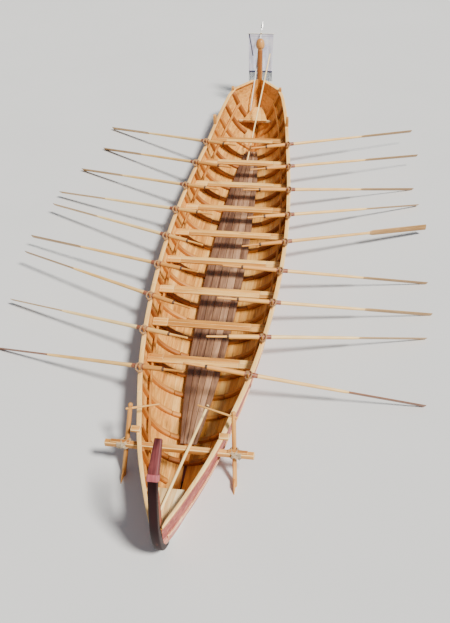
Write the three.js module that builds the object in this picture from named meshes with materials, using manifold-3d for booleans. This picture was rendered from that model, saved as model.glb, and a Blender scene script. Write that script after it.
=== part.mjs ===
import * as THREE from "three";
import { mergeVertices } from "three/addons/utils/BufferGeometryUtils.js";
import Module from "manifold-3d";

const wasm = await Module();
wasm.setup();

// Open river boat for eighteen oars. Millimetres, X to starboard, Y to the bow, Z up.
// The origin is amidships on the waterline.

const GAP = 0.3; // clearance between pieces that touch
const KEEL_LEVEL = -350; // lower edge of the planking amidships
const PLANK = 28; // thickness of the planking
const KEEL_HALF = 30; // half-distance between the two garboards
const OVERHANG = 15; // how far the gunwale reaches past the planking
const GUNWALE = { wide: 85, narrow: 52, deep: 45, seat: 1, end: 6930 };
const CAP_TAPER = { from: -5000, to: -6900 }; // where the gunwale narrows towards the stern
const END_RAKE = { share: 0.18, power: 3.5 }; // how the ends draw in towards the keel

// Stations along the gunwale.
// y, half = half-breadth outside the gunwale, top = its upper face, round = fullness of the section
const STATIONS = [
  [-7240, 95, 878, 0.15],
  [-7000, 200, 855, 0.55],
  [-6500, 390, 808, 0.82],
  [-6000, 565, 768, 0.9],
  [-5500, 710, 735, 0.94],
  [-5000, 825, 708, 0.94],
  [-4000, 1035, 668, 0.93],
  [-3000, 1180, 638, 0.92],
  [-2000, 1275, 614, 0.9],
  [-1000, 1330, 597, 0.92],
  [0, 1345, 585, 0.92],
  [1000, 1325, 579, 0.92],
  [2000, 1270, 580, 0.9],
  [3000, 1190, 587, 0.86],
  [4000, 1090, 605, 0.78],
  [5000, 980, 705, 0.6],
  [5500, 900, 795, 0.48],
  [6100, 775, 925, 0.32],
  [6400, 650, 985, 0.22],
  [6740, 355, 985, 0.1],
  [7080, 60, 985, 0],
].map(([y, half, top, round]) => ({ y, half, top, round }));

// Levels of the planking, from the keel (0) to the sheer (1), where each run of strakes ends.
const BOTTOM_LEVELS = [0, 0.14, 0.28, 0.4, 0.5];
const SIDE_LEVELS = [0.5, 0.6, 0.7, 0.77];
const SHEER_LEVELS = [0.77, 0.88, 1];
const SEAM = 0.0008; // gap between two runs of strakes, as a share of the levels
const WALE = { low: 0.7, high: 0.77, proud: 26, from: -7140, to: 6990 };

// The gunwale's data at any y, by straight lines between the stations.
function sheer(y) {
  const last = STATIONS.length - 1;
  const i = Math.min(Math.max(STATIONS.findIndex((s) => s.y > y) - 1, 0), last - 1);
  const a = y >= STATIONS[last].y ? STATIONS[last - 1] : STATIONS[i];
  const b = STATIONS[STATIONS.indexOf(a) + 1];
  const t = (y - a.y) / (b.y - a.y);
  const mix = (key) => a[key] + (b[key] - a[key]) * t;
  return { y, half: mix("half"), top: mix("top"), round: Math.max(mix("round"), 0) };
}

// Width of the gunwale's cap at any y.
function capWidth(y) {
  const share = THREE.MathUtils.clamp((CAP_TAPER.from - y) / (CAP_TAPER.from - CAP_TAPER.to), 0, 1);
  return GUNWALE.wide - (GUNWALE.wide - GUNWALE.narrow) * share;
}

// How much of the sheer's length a level of the planking reaches.
const reach = (level) => 1 - END_RAKE.share * (1 - level) ** END_RAKE.power;

// Point of the outer hull face at a sheer position and a level.
function hullPoint(y, level) {
  const { half, top, round } = sheer(y);
  const turn = (level * Math.PI) / 2;
  const out = round * Math.sin(turn) ** 0.8 + (1 - round) * level;
  const up = round * (1 - Math.cos(turn)) + (1 - round) * level;
  const edge = top - GUNWALE.deep - GUNWALE.seat;
  return new THREE.Vector3(
    KEEL_HALF + (half - OVERHANG - KEEL_HALF) * out,
    y * reach(level),
    KEEL_LEVEL + (edge - KEEL_LEVEL) * up,
  );
}

// Direction square to the hull face, out of the starboard side.
function outwardAt(y, level) {
  const dy = 20;
  const dl = 0.01;
  const along = hullPoint(y + dy, level).sub(hullPoint(y - dy, level));
  const upward = hullPoint(y, Math.min(level + dl, 1)).sub(hullPoint(y, Math.max(level - dl, 0)));
  const outward = along.cross(upward).normalize();
  return outward.x < 0 ? outward.negate() : outward;
}

// A hull point moved inboard by depth. Starboard side is +1, port -1.
function skin(side, y, level, depth) {
  const p = hullPoint(y, level).addScaledVector(outwardAt(y, level), -depth);
  const ceiling = sheer(y).top - GUNWALE.deep - GUNWALE.seat;
  return [side * Math.max(p.x, 1), p.y, Math.min(p.z, ceiling)];
}

// The same for a piece that stands square across the boat at y.
function crossPoint(side, y, level, depth) {
  const position = y / reach(level);
  const p = hullPoint(position, level);
  const { x, z } = outwardAt(position, level);
  const shift = depth / (x * x + z * z);
  const ceiling = sheer(position).top - GUNWALE.deep - 2 * GUNWALE.seat;
  return [side * Math.max(p.x - x * shift, 1), y, Math.min(p.z - z * shift, ceiling)];
}

function geometryOf(points, faces) {
  const geometry = new THREE.BufferGeometry();
  geometry.setAttribute("position", new THREE.Float32BufferAttribute(points.flat(), 3));
  geometry.setIndex(faces.flat());
  return geometry;
}

// A closed solid as a manifold, turned the right way out.
function solid(geometry) {
  geometry.deleteAttribute("normal");
  geometry.deleteAttribute("uv");
  const merged = mergeVertices(geometry, 1e-3);
  const triVerts = new Uint32Array(merged.index.array);
  let volume = 0;
  const corner = [0, 1, 2].map(() => new THREE.Vector3());
  for (let i = 0; i < triVerts.length; i += 3) {
    corner.forEach((c, k) => c.fromBufferAttribute(merged.attributes.position, triVerts[i + k]));
    volume += corner[0].dot(corner[1].cross(corner[2]));
  }
  if (volume < 0) {
    for (let i = 0; i < triVerts.length; i += 3) {
      [triVerts[i + 1], triVerts[i + 2]] = [triVerts[i + 2], triVerts[i + 1]];
    }
  }
  const vertProperties = new Float32Array(merged.attributes.position.array);
  return new wasm.Manifold(new wasm.Mesh({ numProp: 3, vertProperties, triVerts }));
}

// Solid through a row of rings of points, each ring convex, its ends closed.
function loft(rings) {
  const n = rings[0].length;
  const faces = [];
  for (let i = 0; i + 1 < rings.length; i++) {
    for (let k = 0; k < n; k++) {
      const [a, b] = [i * n + k, i * n + ((k + 1) % n)];
      faces.push([a, b, b + n], [a, b + n, a + n]);
    }
  }
  const end = (rings.length - 1) * n;
  for (let k = 1; k + 1 < n; k++) {
    faces.push([0, k + 1, k], [end, end + k, end + k + 1]);
  }
  return solid(geometryOf(rings.flat(), faces));
}

// Solid between two grids of points of one size, such as the faces of a shell.
function between(outer, inner) {
  const rows = outer.length;
  const cols = outer[0].length;
  const faces = [];
  const at = (face, i, k) => face * rows * cols + i * cols + k;
  const quad = (a, b, c, d) => faces.push([a, b, c], [a, c, d]);
  for (let i = 0; i + 1 < rows; i++) {
    for (let k = 0; k + 1 < cols; k++) {
      quad(at(0, i, k), at(0, i + 1, k), at(0, i + 1, k + 1), at(0, i, k + 1));
      quad(at(1, i, k), at(1, i, k + 1), at(1, i + 1, k + 1), at(1, i + 1, k));
    }
    quad(at(0, i, 0), at(1, i, 0), at(1, i + 1, 0), at(0, i + 1, 0));
    quad(at(0, i, cols - 1), at(0, i + 1, cols - 1), at(1, i + 1, cols - 1), at(1, i, cols - 1));
  }
  for (let k = 0; k + 1 < cols; k++) {
    quad(at(0, 0, k), at(0, 0, k + 1), at(1, 0, k + 1), at(1, 0, k));
    quad(at(0, rows - 1, k + 1), at(0, rows - 1, k), at(1, rows - 1, k), at(1, rows - 1, k + 1));
  }
  return solid(geometryOf([...outer.flat(), ...inner.flat()], faces));
}

// Shell of one side of the hull between two depths, over some levels and a run of the sheer.
function sideShell(side, levels, from, to, start = STATIONS[0].y, stop = STATIONS.at(-1).y) {
  const inside = STATIONS.map((s) => s.y).filter((y) => y > start + 1 && y < stop - 1);
  const grid = (depth) =>
    [start, ...inside, stop].map((y) => levels.map((level) => skin(side, y, level, depth)));
  return between(grid(from), grid(to));
}

// Solid between the port and starboard inner faces.
function insideOfPlanking(depth) {
  const levels = [...BOTTOM_LEVELS, ...SIDE_LEVELS.slice(1), ...SHEER_LEVELS.slice(1)];
  const grid = (side) => STATIONS.map(({ y }) => levels.map((level) => skin(side, y, level, depth)));
  return between(grid(1), grid(-1));
}

function box(x, y, z) {
  const geometry = new THREE.BoxGeometry(x[1] - x[0], y[1] - y[0], z[1] - z[0]);
  geometry.translate((x[0] + x[1]) / 2, (y[0] + y[1]) / 2, (z[0] + z[1]) / 2);
  return solid(geometry);
}

// Bar of rectangular section along a line of points [x, y, z, width, height], upright at each.
function bar(points) {
  return loft(
    points.map(([x, y, z, width, height], i) => {
      const before = points[Math.max(i - 1, 0)];
      const after = points[Math.min(i + 1, points.length - 1)];
      const along = new THREE.Vector3(after[0] - before[0], after[1] - before[1], after[2] - before[2]);
      along.normalize();
      const across = new THREE.Vector3(Math.abs(along.y), -along.x * Math.sign(along.y), 0).normalize();
      const up = across.clone().cross(along).normalize();
      return [
        [1, 1],
        [-1, 1],
        [-1, -1],
        [1, -1],
      ].map(([a, b]) =>
        new THREE.Vector3(x, y, z)
          .addScaledVector(across, (a * width) / 2)
          .addScaledVector(up, (b * height) / 2)
          .toArray(),
      );
    }),
  );
}

// Round pole along a straight line, with radii given at distances from its start: [distance, radius].
function pole(from, to, radii, sides = 8) {
  const start = new THREE.Vector3(...from);
  const along = new THREE.Vector3(...to).sub(start).normalize();
  const helper = Math.abs(along.z) > 0.9 ? new THREE.Vector3(0, 1, 0) : new THREE.Vector3(0, 0, 1);
  const across = along.clone().cross(helper).normalize();
  const up = across.clone().cross(along).normalize();
  return loft(
    radii.map(([distance, radius]) =>
      Array.from({ length: sides }, (_, k) => {
        const angle = ((k + 0.5) * 2 * Math.PI) / sides;
        return start
          .clone()
          .addScaledVector(along, distance)
          .addScaledVector(across, radius * Math.cos(angle))
          .addScaledVector(up, radius * Math.sin(angle))
          .toArray();
      }),
    ),
  );
}

const join = (solids) => solids.reduce((a, b) => a.add(b));
const largest = (made) => made.decompose().reduce((a, b) => (b.volume() > a.volume() ? b : a));

const boat = new THREE.Group();

const WOOD = {
  pine: { color: 0xd9b27a, roughness: 0.6 },
  gunwale: { color: 0xe6cfa2, roughness: 0.55 },
  frame: { color: 0xb96a26, roughness: 0.55 },
  floor: { color: 0x9a6a48, roughness: 0.7 },
  post: { color: 0xc98a3a, roughness: 0.45 },
  redPaint: { color: 0xa83432, roughness: 0.55 },
  darkRedPaint: { color: 0x6e2226, roughness: 0.5 },
  bottomPaint: { color: 0xb9bda4, roughness: 0.6 },
  oar: { color: 0xe0c79a, roughness: 0.5 },
  cloth: { color: 0xe9e8ee, roughness: 0.9 },
};

// Adds a finished solid to the boat as one named mesh.
function piece(name, made, finish) {
  const mesh = made.getMesh();
  const geometry = new THREE.BufferGeometry();
  geometry.setAttribute("position", new THREE.BufferAttribute(mesh.vertProperties, 3));
  geometry.setIndex(new THREE.BufferAttribute(mesh.triVerts, 1));
  geometry.computeVertexNormals();
  const material = new THREE.MeshStandardMaterial({ ...WOOD[finish], metalness: 0 });
  const placed = new THREE.Mesh(geometry, material);
  placed.name = name;
  boat.add(placed);
}

const SIDES = [
  [-1, "port"],
  [1, "starboard"],
];

// Rudder gear: a beam through the sheer strakes carries a raked quarter rudder on each side.
const BEAM = { y: -5580, wide: 90, low: 500, high: 605, half: 1257 };
const BEAM_PAD = { from: 820, to: 1150, aft: 15, fore: 10, tall: 28 };
const RUDDER = { topX: 866, footX: 1003, topY: -5100, topZ: 1054, footY: -6230, footZ: -640, radius: 38 };

function rudderBeam() {
  const y = [BEAM.y - BEAM.wide / 2, BEAM.y + BEAM.wide / 2];
  const core = box([-BEAM.half, BEAM.half], y, [BEAM.low, BEAM.high]);
  const pads = SIDES.map(([side]) => {
    const x = [side * BEAM_PAD.from, side * BEAM_PAD.to].sort((a, b) => a - b);
    return box(x, [y[0] + BEAM_PAD.aft, y[1] - BEAM_PAD.fore], [BEAM.high - 1, BEAM.high + BEAM_PAD.tall]);
  });
  return join([core, ...pads]);
}

// Opening that the beam needs where it goes through the planking.
function beamPassage() {
  const room = 2;
  return box(
    [-BEAM.half, BEAM.half],
    [BEAM.y - BEAM.wide / 2 - room, BEAM.y + BEAM.wide / 2 + room],
    [BEAM.low - room, BEAM.high + room],
  );
}

// Planking of both sides, with its wales.
for (const [side, name] of SIDES) {
  piece(`bottom_planking_${name}`, sideShell(side, BOTTOM_LEVELS, 0, PLANK), "bottomPaint");
  const sideLevels = SIDE_LEVELS.map((level, i) => (i === 0 ? level + SEAM : level));
  piece(`side_planking_${name}`, sideShell(side, sideLevels, 0, PLANK), "redPaint");
  const sheerLevels = SHEER_LEVELS.map((level, i) => (i === 0 ? level + SEAM : level));
  const strake = sideShell(side, sheerLevels, 0, PLANK).subtract(beamPassage());
  piece(`sheer_strake_${name}`, strake, "redPaint");
  const wale = sideShell(side, [WALE.low, WALE.high], -WALE.proud, -1.2)
    .intersect(box([-2000, 2000], [WALE.from, WALE.to], [-1000, 2000]));
  piece(`wale_${name}`, wale, "pine");
}

// What the planking takes out of the posts, as a rabbet a little wider than the planks.
function rabbet(side) {
  const levels = [...BOTTOM_LEVELS, ...SIDE_LEVELS.slice(1), ...SHEER_LEVELS.slice(1)];
  const rows = STATIONS.map((s) => s.y);
  const end = 12;
  const places = [rows[0] - end, ...rows, rows.at(-1) + end];
  const room = 1.2;
  const grid = (depth) =>
    places.map((y) => {
      const rows = levels.map((level) => {
        const [px, py, pz] = skin(side, y, level, depth);
        return [px, py, level === 1 ? pz + room : pz];
      });
      const out = outwardAt(y, 0);
      const [px, py, pz] = rows[0];
      const past = [px + side * room * out.z, py, pz - room * out.x];
      return [past, ...rows];
    });
  return between(grid(-room), grid(PLANK + room));
}
const RABBETS = SIDES.map(([side]) => rabbet(side));
const fitToPlanking = (post) => RABBETS.reduce((left, taken) => left.subtract(taken), post);

const KEEL = { half: 50, deep: 75, from: -5600, to: 5450 };
const KEEL_Z = [KEEL_LEVEL - 2 * GAP - KEEL.deep, KEEL_LEVEL - 2 * GAP];
piece("keel", box([-KEEL.half, KEEL.half], [KEEL.from, KEEL.to], KEEL_Z), "darkRedPaint");

// Centre line of each post: y, z, width across the boat, depth fore and aft.
const BOW_POST = [
  [KEEL.to + GAP, -385, 100, 80],
  [5800, -385, 100, 90],
  [6210, -270, 110, 120],
  [6540, -120, 125, 140],
  [6800, 60, 135, 150],
  [7020, 310, 140, 150],
  [7100, 600, 145, 150],
  [7120, 900, 145, 150],
  [7145, 1150, 145, 148],
  [7200, 1400, 145, 145],
  [7290, 1690, 140, 135],
];
const STERN_POST = [
  [KEEL.from - GAP, -385, 100, 80],
  [-5960, -385, 100, 90],
  [-6370, -270, 105, 115],
  [-6710, -120, 115, 130],
  [-6980, 60, 125, 140],
  [-7195, 300, 132, 145],
  [-7280, 560, 135, 150],
  [-7300, 870, 135, 150],
  [-7250, 1150, 135, 140],
  [-7180, 1400, 135, 132],
  [-7110, 1600, 138, 130],
  [-7030, 1740, 145, 130],
  [-6985, 1788, 148, 130],
];
// Deeper wood on the forward face of the stern post, above the gunwales.
const STERN_KNEE = [
  [-7190, 892, 124, 180],
  [-7150, 1150, 124, 200],
  [-7110, 1400, 124, 170],
  [-7085, 1600, 126, 120],
  [-7062, 1700, 128, 60],
];
const STERN_HEAD = [
  [-7030, 1752, 155, 130],
  [-6960, 1812, 158, 130],
  [-6840, 1868, 150, 125],
  [-6700, 1932, 134, 118],
  [-6500, 2026, 112, 100],
];
const KNOB = { from: [0, 7286, 1683], to: [0, 7408, 1980], radius: 126 };

const postBar = (rows) => bar(rows.map(([y, z, width, depth]) => [0, y, z, width, depth]));

// Rounded head of the bow post: [distance along it, radius].
function knob() {
  const rounds = [
    [0, 0.5],
    [28, 0.56],
    [50, 0.82],
    [90, 0.97],
    [140, 1],
    [200, 0.97],
    [250, 0.84],
    [290, 0.62],
    [320, 0.16],
  ];
  return pole(KNOB.from, KNOB.to, rounds.map(([d, r]) => [d, r * KNOB.radius]), 14);
}
piece("bow_post", fitToPlanking(join([postBar(BOW_POST), knob()])), "post");

const RING = [
  [0, -7032, 1748, 172, 162],
  [0, -6958, 1818, 172, 162],
];
piece(
  "stern_post",
  fitToPlanking(join([STERN_POST, STERN_KNEE, STERN_HEAD].map(postBar).concat([bar(RING)]))),
  "darkRedPaint",
);

// Gunwales with the pads and tholes of the oars.
// y of the lock, then for port and for starboard: sweep to the bow, dip, length outboard,
// and how far the aft edge of the blade is turned up
const OAR_ROWS = [
  [4000, 28.3, 10.8, 3400, 58, 22.9, 4.1, 3400, 58],
  [3000, 28.1, 11.4, 3254, 58, 22.0, 5.4, 3400, 58],
  [2000, 24.9, 10.5, 3400, 58, 22.4, 11.3, 3249, 58],
  [1000, 19.6, 8.2, 3400, 54, 26.9, 10.4, 3400, 50],
  [0, 24.9, 6.2, 3400, 60, 24.5, 7.5, 3400, 105],
  [-1000, 19.3, 6.1, 3400, 66, 12.1, 11.9, 3173, 63],
  [-2000, 23.8, 4.0, 3400, 63, 12.1, 11.8, 3269, 70],
  [-3000, 19.8, 9.6, 3400, 57, 17.4, 12.1, 3299, 60],
  [-4000, 14.7, 12.4, 3480, 62, 4.0, 12.8, 3200, 65],
];
const LOCK = {
  height: 85,
  pad: 26,
  padLong: 300,
  padWide: 58,
  thole: 15,
  tholeTall: 175,
  offset: 66,
  inset: 55,
};

// Thole pin of an oar: it stands just aft of the loom, and the oar swings round it.
function tholeAt(side, [y, portSweep, , , , starboardSweep]) {
  const sweep = THREE.MathUtils.degToRad(side < 0 ? portSweep : starboardSweep);
  const back = LOCK.inset * Math.tan(sweep) + LOCK.offset / Math.cos(sweep);
  return [side * (sheer(y).half - LOCK.inset), y - back];
}

// Heads of the bow frames that stand proud of the gunwale: y, height over it.
const FRAME_HEADS = [
  [4920, 260],
  [6320, 105],
];
const HEAD = { out: 30, half: 45, rounding: 60, thick: 38 };

function frameHead(side, [y, tall]) {
  const { half, top } = sheer(y);
  const x = half - HEAD.out;
  const outline = (width) => [
    [width, -20],
    [width, tall - HEAD.rounding],
    [width * 0.7, tall - HEAD.rounding * 0.25],
    [0, tall],
    [-width * 0.7, tall - HEAD.rounding * 0.25],
    [-width, tall - HEAD.rounding],
    [-width, -20],
  ];
  return loft(
    [-HEAD.thick, HEAD.thick].map((across) =>
      outline(HEAD.half).map(([dy, dz]) => [side * (x + across), y + dy, top + dz]),
    ),
  );
}

const BESIDE_POST = { inner: 76, outer: 90 }; // least x of the cap's edges beside the posts

function gunwale(side) {
  const stations = [...STATIONS.filter(({ y }) => y < GUNWALE.end), sheer(GUNWALE.end)];
  const rows = stations.map((station, i) => {
    const before = stations[Math.max(i - 1, 0)];
    const after = stations[Math.min(i + 1, stations.length - 1)];
    const slope = Math.atan2(after.half - before.half, after.y - before.y);
    const wide = capWidth(station.y);
    const innerX = Math.max(station.half - wide * Math.cos(slope), BESIDE_POST.inner);
    const shift = innerX > BESIDE_POST.inner ? wide * Math.sin(slope) : 0;
    const outer = [side * Math.max(station.half, BESIDE_POST.outer), station.y];
    const inner = [side * innerX, station.y + shift];
    const low = station.top - GUNWALE.deep;
    return [
      [...outer, low],
      [...outer, station.top],
      [...inner, station.top],
      [...inner, low],
    ];
  });
  const cap = loft(rows);
  const locks = OAR_ROWS.map((row) => {
    const y = row[0];
    const { top } = sheer(y);
    const [x, tholeY] = tholeAt(side, row);
    const from = sheer(y - LOCK.padLong / 2);
    const to = sheer(y + LOCK.padLong / 2);
    const pad = bar([
      [side * (from.half - LOCK.inset), from.y, from.top + LOCK.pad / 2 - 1, LOCK.padWide, LOCK.pad + 2],
      [side * (to.half - LOCK.inset), to.y, to.top + LOCK.pad / 2 - 1, LOCK.padWide, LOCK.pad + 2],
    ]);
    const pin = pole(
      [x, tholeY, top - 10],
      [x, tholeY, top + LOCK.tholeTall],
      [
        [0, LOCK.thole],
        [LOCK.tholeTall - 10, LOCK.thole],
        [LOCK.tholeTall + 10, LOCK.thole * 0.6],
      ],
      6,
    );
    return join([pad, pin]);
  });
  return join([cap, ...locks, ...FRAME_HEADS.map((row) => frameHead(side, row))]);
}
const GUNWALES = new Map(SIDES.map(([side]) => [side, gunwale(side)]));
for (const [side, name] of SIDES) {
  piece(`gunwale_${name}`, GUNWALES.get(side), "gunwale");
}

// Frames: floor timbers under a keelson, and side frames that a riser joins.
const ROOM = insideOfPlanking(PLANK + 1);
const FRAME = {
  pitch: 500,
  first: -6250,
  last: 6250,
  wide: 90,
  deep: 75,
  headDeep: 58,
  floorDeep: 72,
  bed: 18,
  joint: 0.28,
};
const RISER = { low: 0.725, high: 0.775, deep: 22 };
const KEELSON = { half: 65, deep: 85, from: -5300, to: 5300 };

const places = (first, last, pitch) =>
  Array.from({ length: Math.round((last - first) / pitch) + 1 }, (_, i) => first + i * pitch);

// Timber across the boat at y: at each level a ring of two outer and two inner corners.
function timber(y, corners) {
  const fore = y + FRAME.wide / 2;
  const aft = y - FRAME.wide / 2;
  return loft(corners.map(([outer, inner]) => [outer(aft), outer(fore), inner(fore), inner(aft)]));
}

function floorTimbers() {
  const levels = [FRAME.joint, 0.14, 0];
  const raised = ([x, y, z]) => [x, y, z + FRAME.floorDeep];
  const corner = (side, level) => [
    (y) => crossPoint(side, y, level, FRAME.bed),
    (y) =>
      level === levels[0]
        ? crossPoint(side, y, level, PLANK + FRAME.deep)
        : raised(crossPoint(side, y, level, PLANK)),
  ];
  const corners = [
    ...levels.map((level) => corner(-1, level)),
    ...levels.toReversed().map((level) => corner(1, level)),
  ];
  const top = KEEL_LEVEL + PLANK + FRAME.floorDeep;
  const along = [KEELSON.from, KEELSON.to];
  const timbers = places(-5250, 5250, FRAME.pitch).map((y) => fitToPlanking(timber(y, corners)));
  const keelson = box([-KEELSON.half, KEELSON.half], along, [top - 12, top + KEELSON.deep]);
  return largest(join([...timbers, keelson]));
}
piece("floor_timbers", floorTimbers(), "frame");

function sideFrames(side) {
  const levels = [FRAME.joint + 0.004, 0.4, 0.5, 0.6, 0.7, 0.77, 0.88, 1];
  const thinned = (level) => Math.max((level - RISER.high) / (1 - RISER.high), 0);
  const deepAt = (level) => FRAME.deep - (FRAME.deep - FRAME.headDeep) * thinned(level);
  const corners = levels.map((level) => [
    (y) => crossPoint(side, y, level, FRAME.bed),
    (y) => crossPoint(side, y, level, PLANK + deepAt(level)),
  ]);
  const riser = sideShell(
    side,
    [RISER.low, RISER.high],
    PLANK + FRAME.deep - 4,
    PLANK + FRAME.deep + RISER.deep,
    FRAME.first - 60,
    FRAME.last + 60,
  );
  const ribs = places(FRAME.first, FRAME.last, FRAME.pitch).map((y) => fitToPlanking(timber(y, corners)));
  return join([...ribs, riser]).subtract(beamPassage());
}
for (const [side, name] of SIDES) {
  piece(`side_frames_${name}`, sideFrames(side), "frame");
}

// Thwarts lie on the risers, one forward of each pair of oars.
const THWART = { wide: 200, deep: 40, ahead: 600 };

// Height of the riser's upper inner edge at a place along the boat.
function riserTop(y) {
  const depth = PLANK + FRAME.deep + RISER.deep;
  return skin(1, y / reach(RISER.high), RISER.high, depth)[2];
}

OAR_ROWS.forEach(([lockY], i) => {
  const y = [lockY + THWART.ahead - THWART.wide / 2, lockY + THWART.ahead + THWART.wide / 2];
  const low = Math.max(riserTop(y[0]), riserTop(y[1])) + 3;
  const board = box([-1500, 1500], y, [low, low + THWART.deep]);
  piece(`thwart_${i + 1}`, board.intersect(ROOM), "pine");
});

// Floorboards on the keelson: [y, half-width].
const FLOOR = { deep: 24, boards: 5, gap: 10 };
const FLOOR_ROWS = [
  [-4950, 150],
  [-4200, 240],
  [-3000, 340],
  [0, 430],
  [3000, 340],
  [4200, 250],
  [4950, 160],
];

function floorboards() {
  const low = KEEL_LEVEL + PLANK + FRAME.floorDeep + KEELSON.deep + GAP;
  const planks = Array.from({ length: FLOOR.boards }, (_, k) => {
    const rings = FLOOR_ROWS.map(([y, half]) => {
      const wide = (2 * half) / FLOOR.boards;
      const x0 = -half + k * wide + FLOOR.gap / 2;
      const x1 = x0 + wide - FLOOR.gap;
      return [
        [x0, y, low],
        [x1, y, low],
        [x1, y, low + FLOOR.deep],
        [x0, y, low + FLOOR.deep],
      ];
    });
    return loft(rings);
  });
  const battens = FLOOR_ROWS.filter(([y]) => Math.abs(y) !== 3000).map(([y, half]) => {
    const mid = Math.sign(-y || 1) * 30 + y;
    return box([-half + 12, half - 12], [mid - 22, mid + 22], [low + 2, low + 12]);
  });
  return join([...planks, ...battens]);
}
piece("floorboards", floorboards(), "floor");

// Stern deck of fore-and-aft planks on a beam: [y, half-width].
const STERN_DECK = { low: 598, high: 624 };
const STERN_DECK_ROWS = [
  [-6390, 262],
  [-6800, 165],
  [-7060, 84],
];
function sternDeck() {
  const rings = STERN_DECK_ROWS.map(([y, half]) => [
    [-half, y, STERN_DECK.low],
    [half, y, STERN_DECK.low],
    [half, y, STERN_DECK.high],
    [-half, y, STERN_DECK.high],
  ]);
  const carrier = box([-315, 315], [-6460, -6400], [STERN_DECK.low - 60, STERN_DECK.low + 1]);
  return join([loft(rings), carrier.intersect(ROOM)]);
}
piece("stern_deck", sternDeck(), "pine");

// Small platform in the bow: [y, half-width].
const BOW_DECK = { low: 272, high: 300 };
const BOW_DECK_ROWS = [
  [5880, 330],
  [6300, 225],
  [6640, 100],
];
function bowDeck() {
  const rings = BOW_DECK_ROWS.map(([y, half]) => [
    [-half, y, BOW_DECK.low],
    [half, y, BOW_DECK.low],
    [half, y, BOW_DECK.high],
    [-half, y, BOW_DECK.high],
  ]);
  const carrier = box([-480, 480], [5900, 5960], [BOW_DECK.low - 60, BOW_DECK.low + 1]);
  return join([loft(rings), carrier.intersect(ROOM)]);
}
piece("bow_deck", bowDeck(), "pine");

piece("rudder_beam", rudderBeam(), "pine");

// Quarter rudders: a raked stock with its blade, and a tiller set in the stock.
const TILLER = { alongStock: 95, out: 75 };
const TILLER_REACH = [
  [-1, "port", 480, 150],
  [1, "starboard", 640, 200],
];

function stockLine(side) {
  const top = new THREE.Vector3(side * RUDDER.topX, RUDDER.topY, RUDDER.topZ);
  const foot = new THREE.Vector3(side * RUDDER.footX, RUDDER.footY, RUDDER.footZ);
  return { top, foot, along: foot.clone().sub(top).normalize(), long: top.distanceTo(foot) };
}

function rudder(side) {
  const { top, foot, long } = stockLine(side);
  const stock = pole(
    top.toArray(),
    foot.toArray(),
    [
      [0, 26],
      [18, 40],
      [52, 40],
      [75, 32],
      [140, RUDDER.radius],
      [1250, RUDDER.radius],
      [long - 20, 24],
    ],
    10,
  );
  const at = (share) => top.clone().lerp(foot, share);
  const blade = loft(
    [
      [0.56, 42, 42, 22],
      [0.6, 120, 88, 16],
      [0.8, 165, 120, 13],
      [0.97, 175, 125, 10],
      [1.0, 160, 112, 8],
    ].map(([share, aft, fore, thick]) => {
      const c = at(share);
      return [
        [c.x - thick, c.y - aft, c.z + aft * 0.6],
        [c.x + thick, c.y - aft, c.z + aft * 0.6],
        [c.x + thick, c.y + fore, c.z - fore * 0.6],
        [c.x - thick, c.y + fore, c.z - fore * 0.6],
      ];
    }),
  );
  return join([stock, blade]);
}

for (const [side, name, inboard, forward] of TILLER_REACH) {
  const { top, along } = stockLine(side);
  const hub = top.clone().addScaledVector(along, TILLER.alongStock);
  const inner = new THREE.Vector3(hub.x - side * inboard, hub.y + forward, hub.z - 12);
  const direction = inner.clone().sub(hub).normalize();
  const outer = hub.clone().addScaledVector(direction, -TILLER.out);
  const long = outer.distanceTo(inner);
  const radii = (extra) => [
    [0, 21 + extra],
    [TILLER.out * 2, 21 + extra],
    [long, 15 + extra],
  ];
  const tiller = pole(outer.toArray(), inner.toArray(), radii(0));
  const hole = pole(outer.toArray(), inner.toArray(), radii(GAP));
  piece(`rudder_${name}`, rudder(side).subtract(hole), "pine");
  piece(`tiller_${name}`, tiller, "pine");
}

// Chocks on the gunwale that steady the stocks.
const CHOCK = { y: -5405, half: 55, inboard: 70, outboard: 90, tall: 62 };
for (const [side, name] of SIDES) {
  const { half, top } = sheer(CHOCK.y);
  const x = [side * (half - CHOCK.inboard), side * (half + CHOCK.outboard)].sort((a, b) => a - b);
  const y = [CHOCK.y - CHOCK.half, CHOCK.y + CHOCK.half];
  const low = Math.max(sheer(y[0]).top, top) + 3;
  piece(`rudder_chock_${name}`, box(x, y, [low, low + CHOCK.tall]), "pine");
}

// Poles: the standard's pole and cloth at the bow, and two boathooks.
const STANDARD = { foot: [-186, 6346, 318], bar: [-30, 7800, 1932], tip: [0, 8060, 2220], radius: 17 };
const CLOTH = { wide: 710, tall: 1140, thick: 6 };
const STANDARD_DIRECTION = new THREE.Vector3(...STANDARD.bar).sub(new THREE.Vector3(...STANDARD.foot));

function standardPole() {
  const long = new THREE.Vector3(...STANDARD.tip).distanceTo(new THREE.Vector3(...STANDARD.foot));
  const barAt = STANDARD_DIRECTION.length();
  return pole(STANDARD.foot, STANDARD.bar, [
    [0, STANDARD.radius],
    [barAt + 90, STANDARD.radius * 0.85],
    [barAt + 100, 20],
    [barAt + 190, 26],
    [long, 4],
  ]);
}
piece("standard_pole", standardPole(), "pine");

const barY = STANDARD.bar[1] + STANDARD.radius + 16;
const barHalf = CLOTH.wide / 2 + 35;
piece(
  "standard_crossbar",
  pole(
    [STANDARD.bar[0] - barHalf, barY + 4, STANDARD.bar[2]],
    [STANDARD.bar[0] + barHalf, barY + 4, STANDARD.bar[2]],
    [
      [0, 12],
      [2 * barHalf, 12],
    ],
  ),
  "pine",
);
piece(
  "standard_cloth",
  box(
    [STANDARD.bar[0] - CLOTH.wide / 2, STANDARD.bar[0] + CLOTH.wide / 2],
    [barY + 1, barY + 1 + CLOTH.thick],
    [STANDARD.bar[2] - 13 - CLOTH.tall, STANDARD.bar[2] - 13],
  ),
  "cloth",
);

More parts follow.
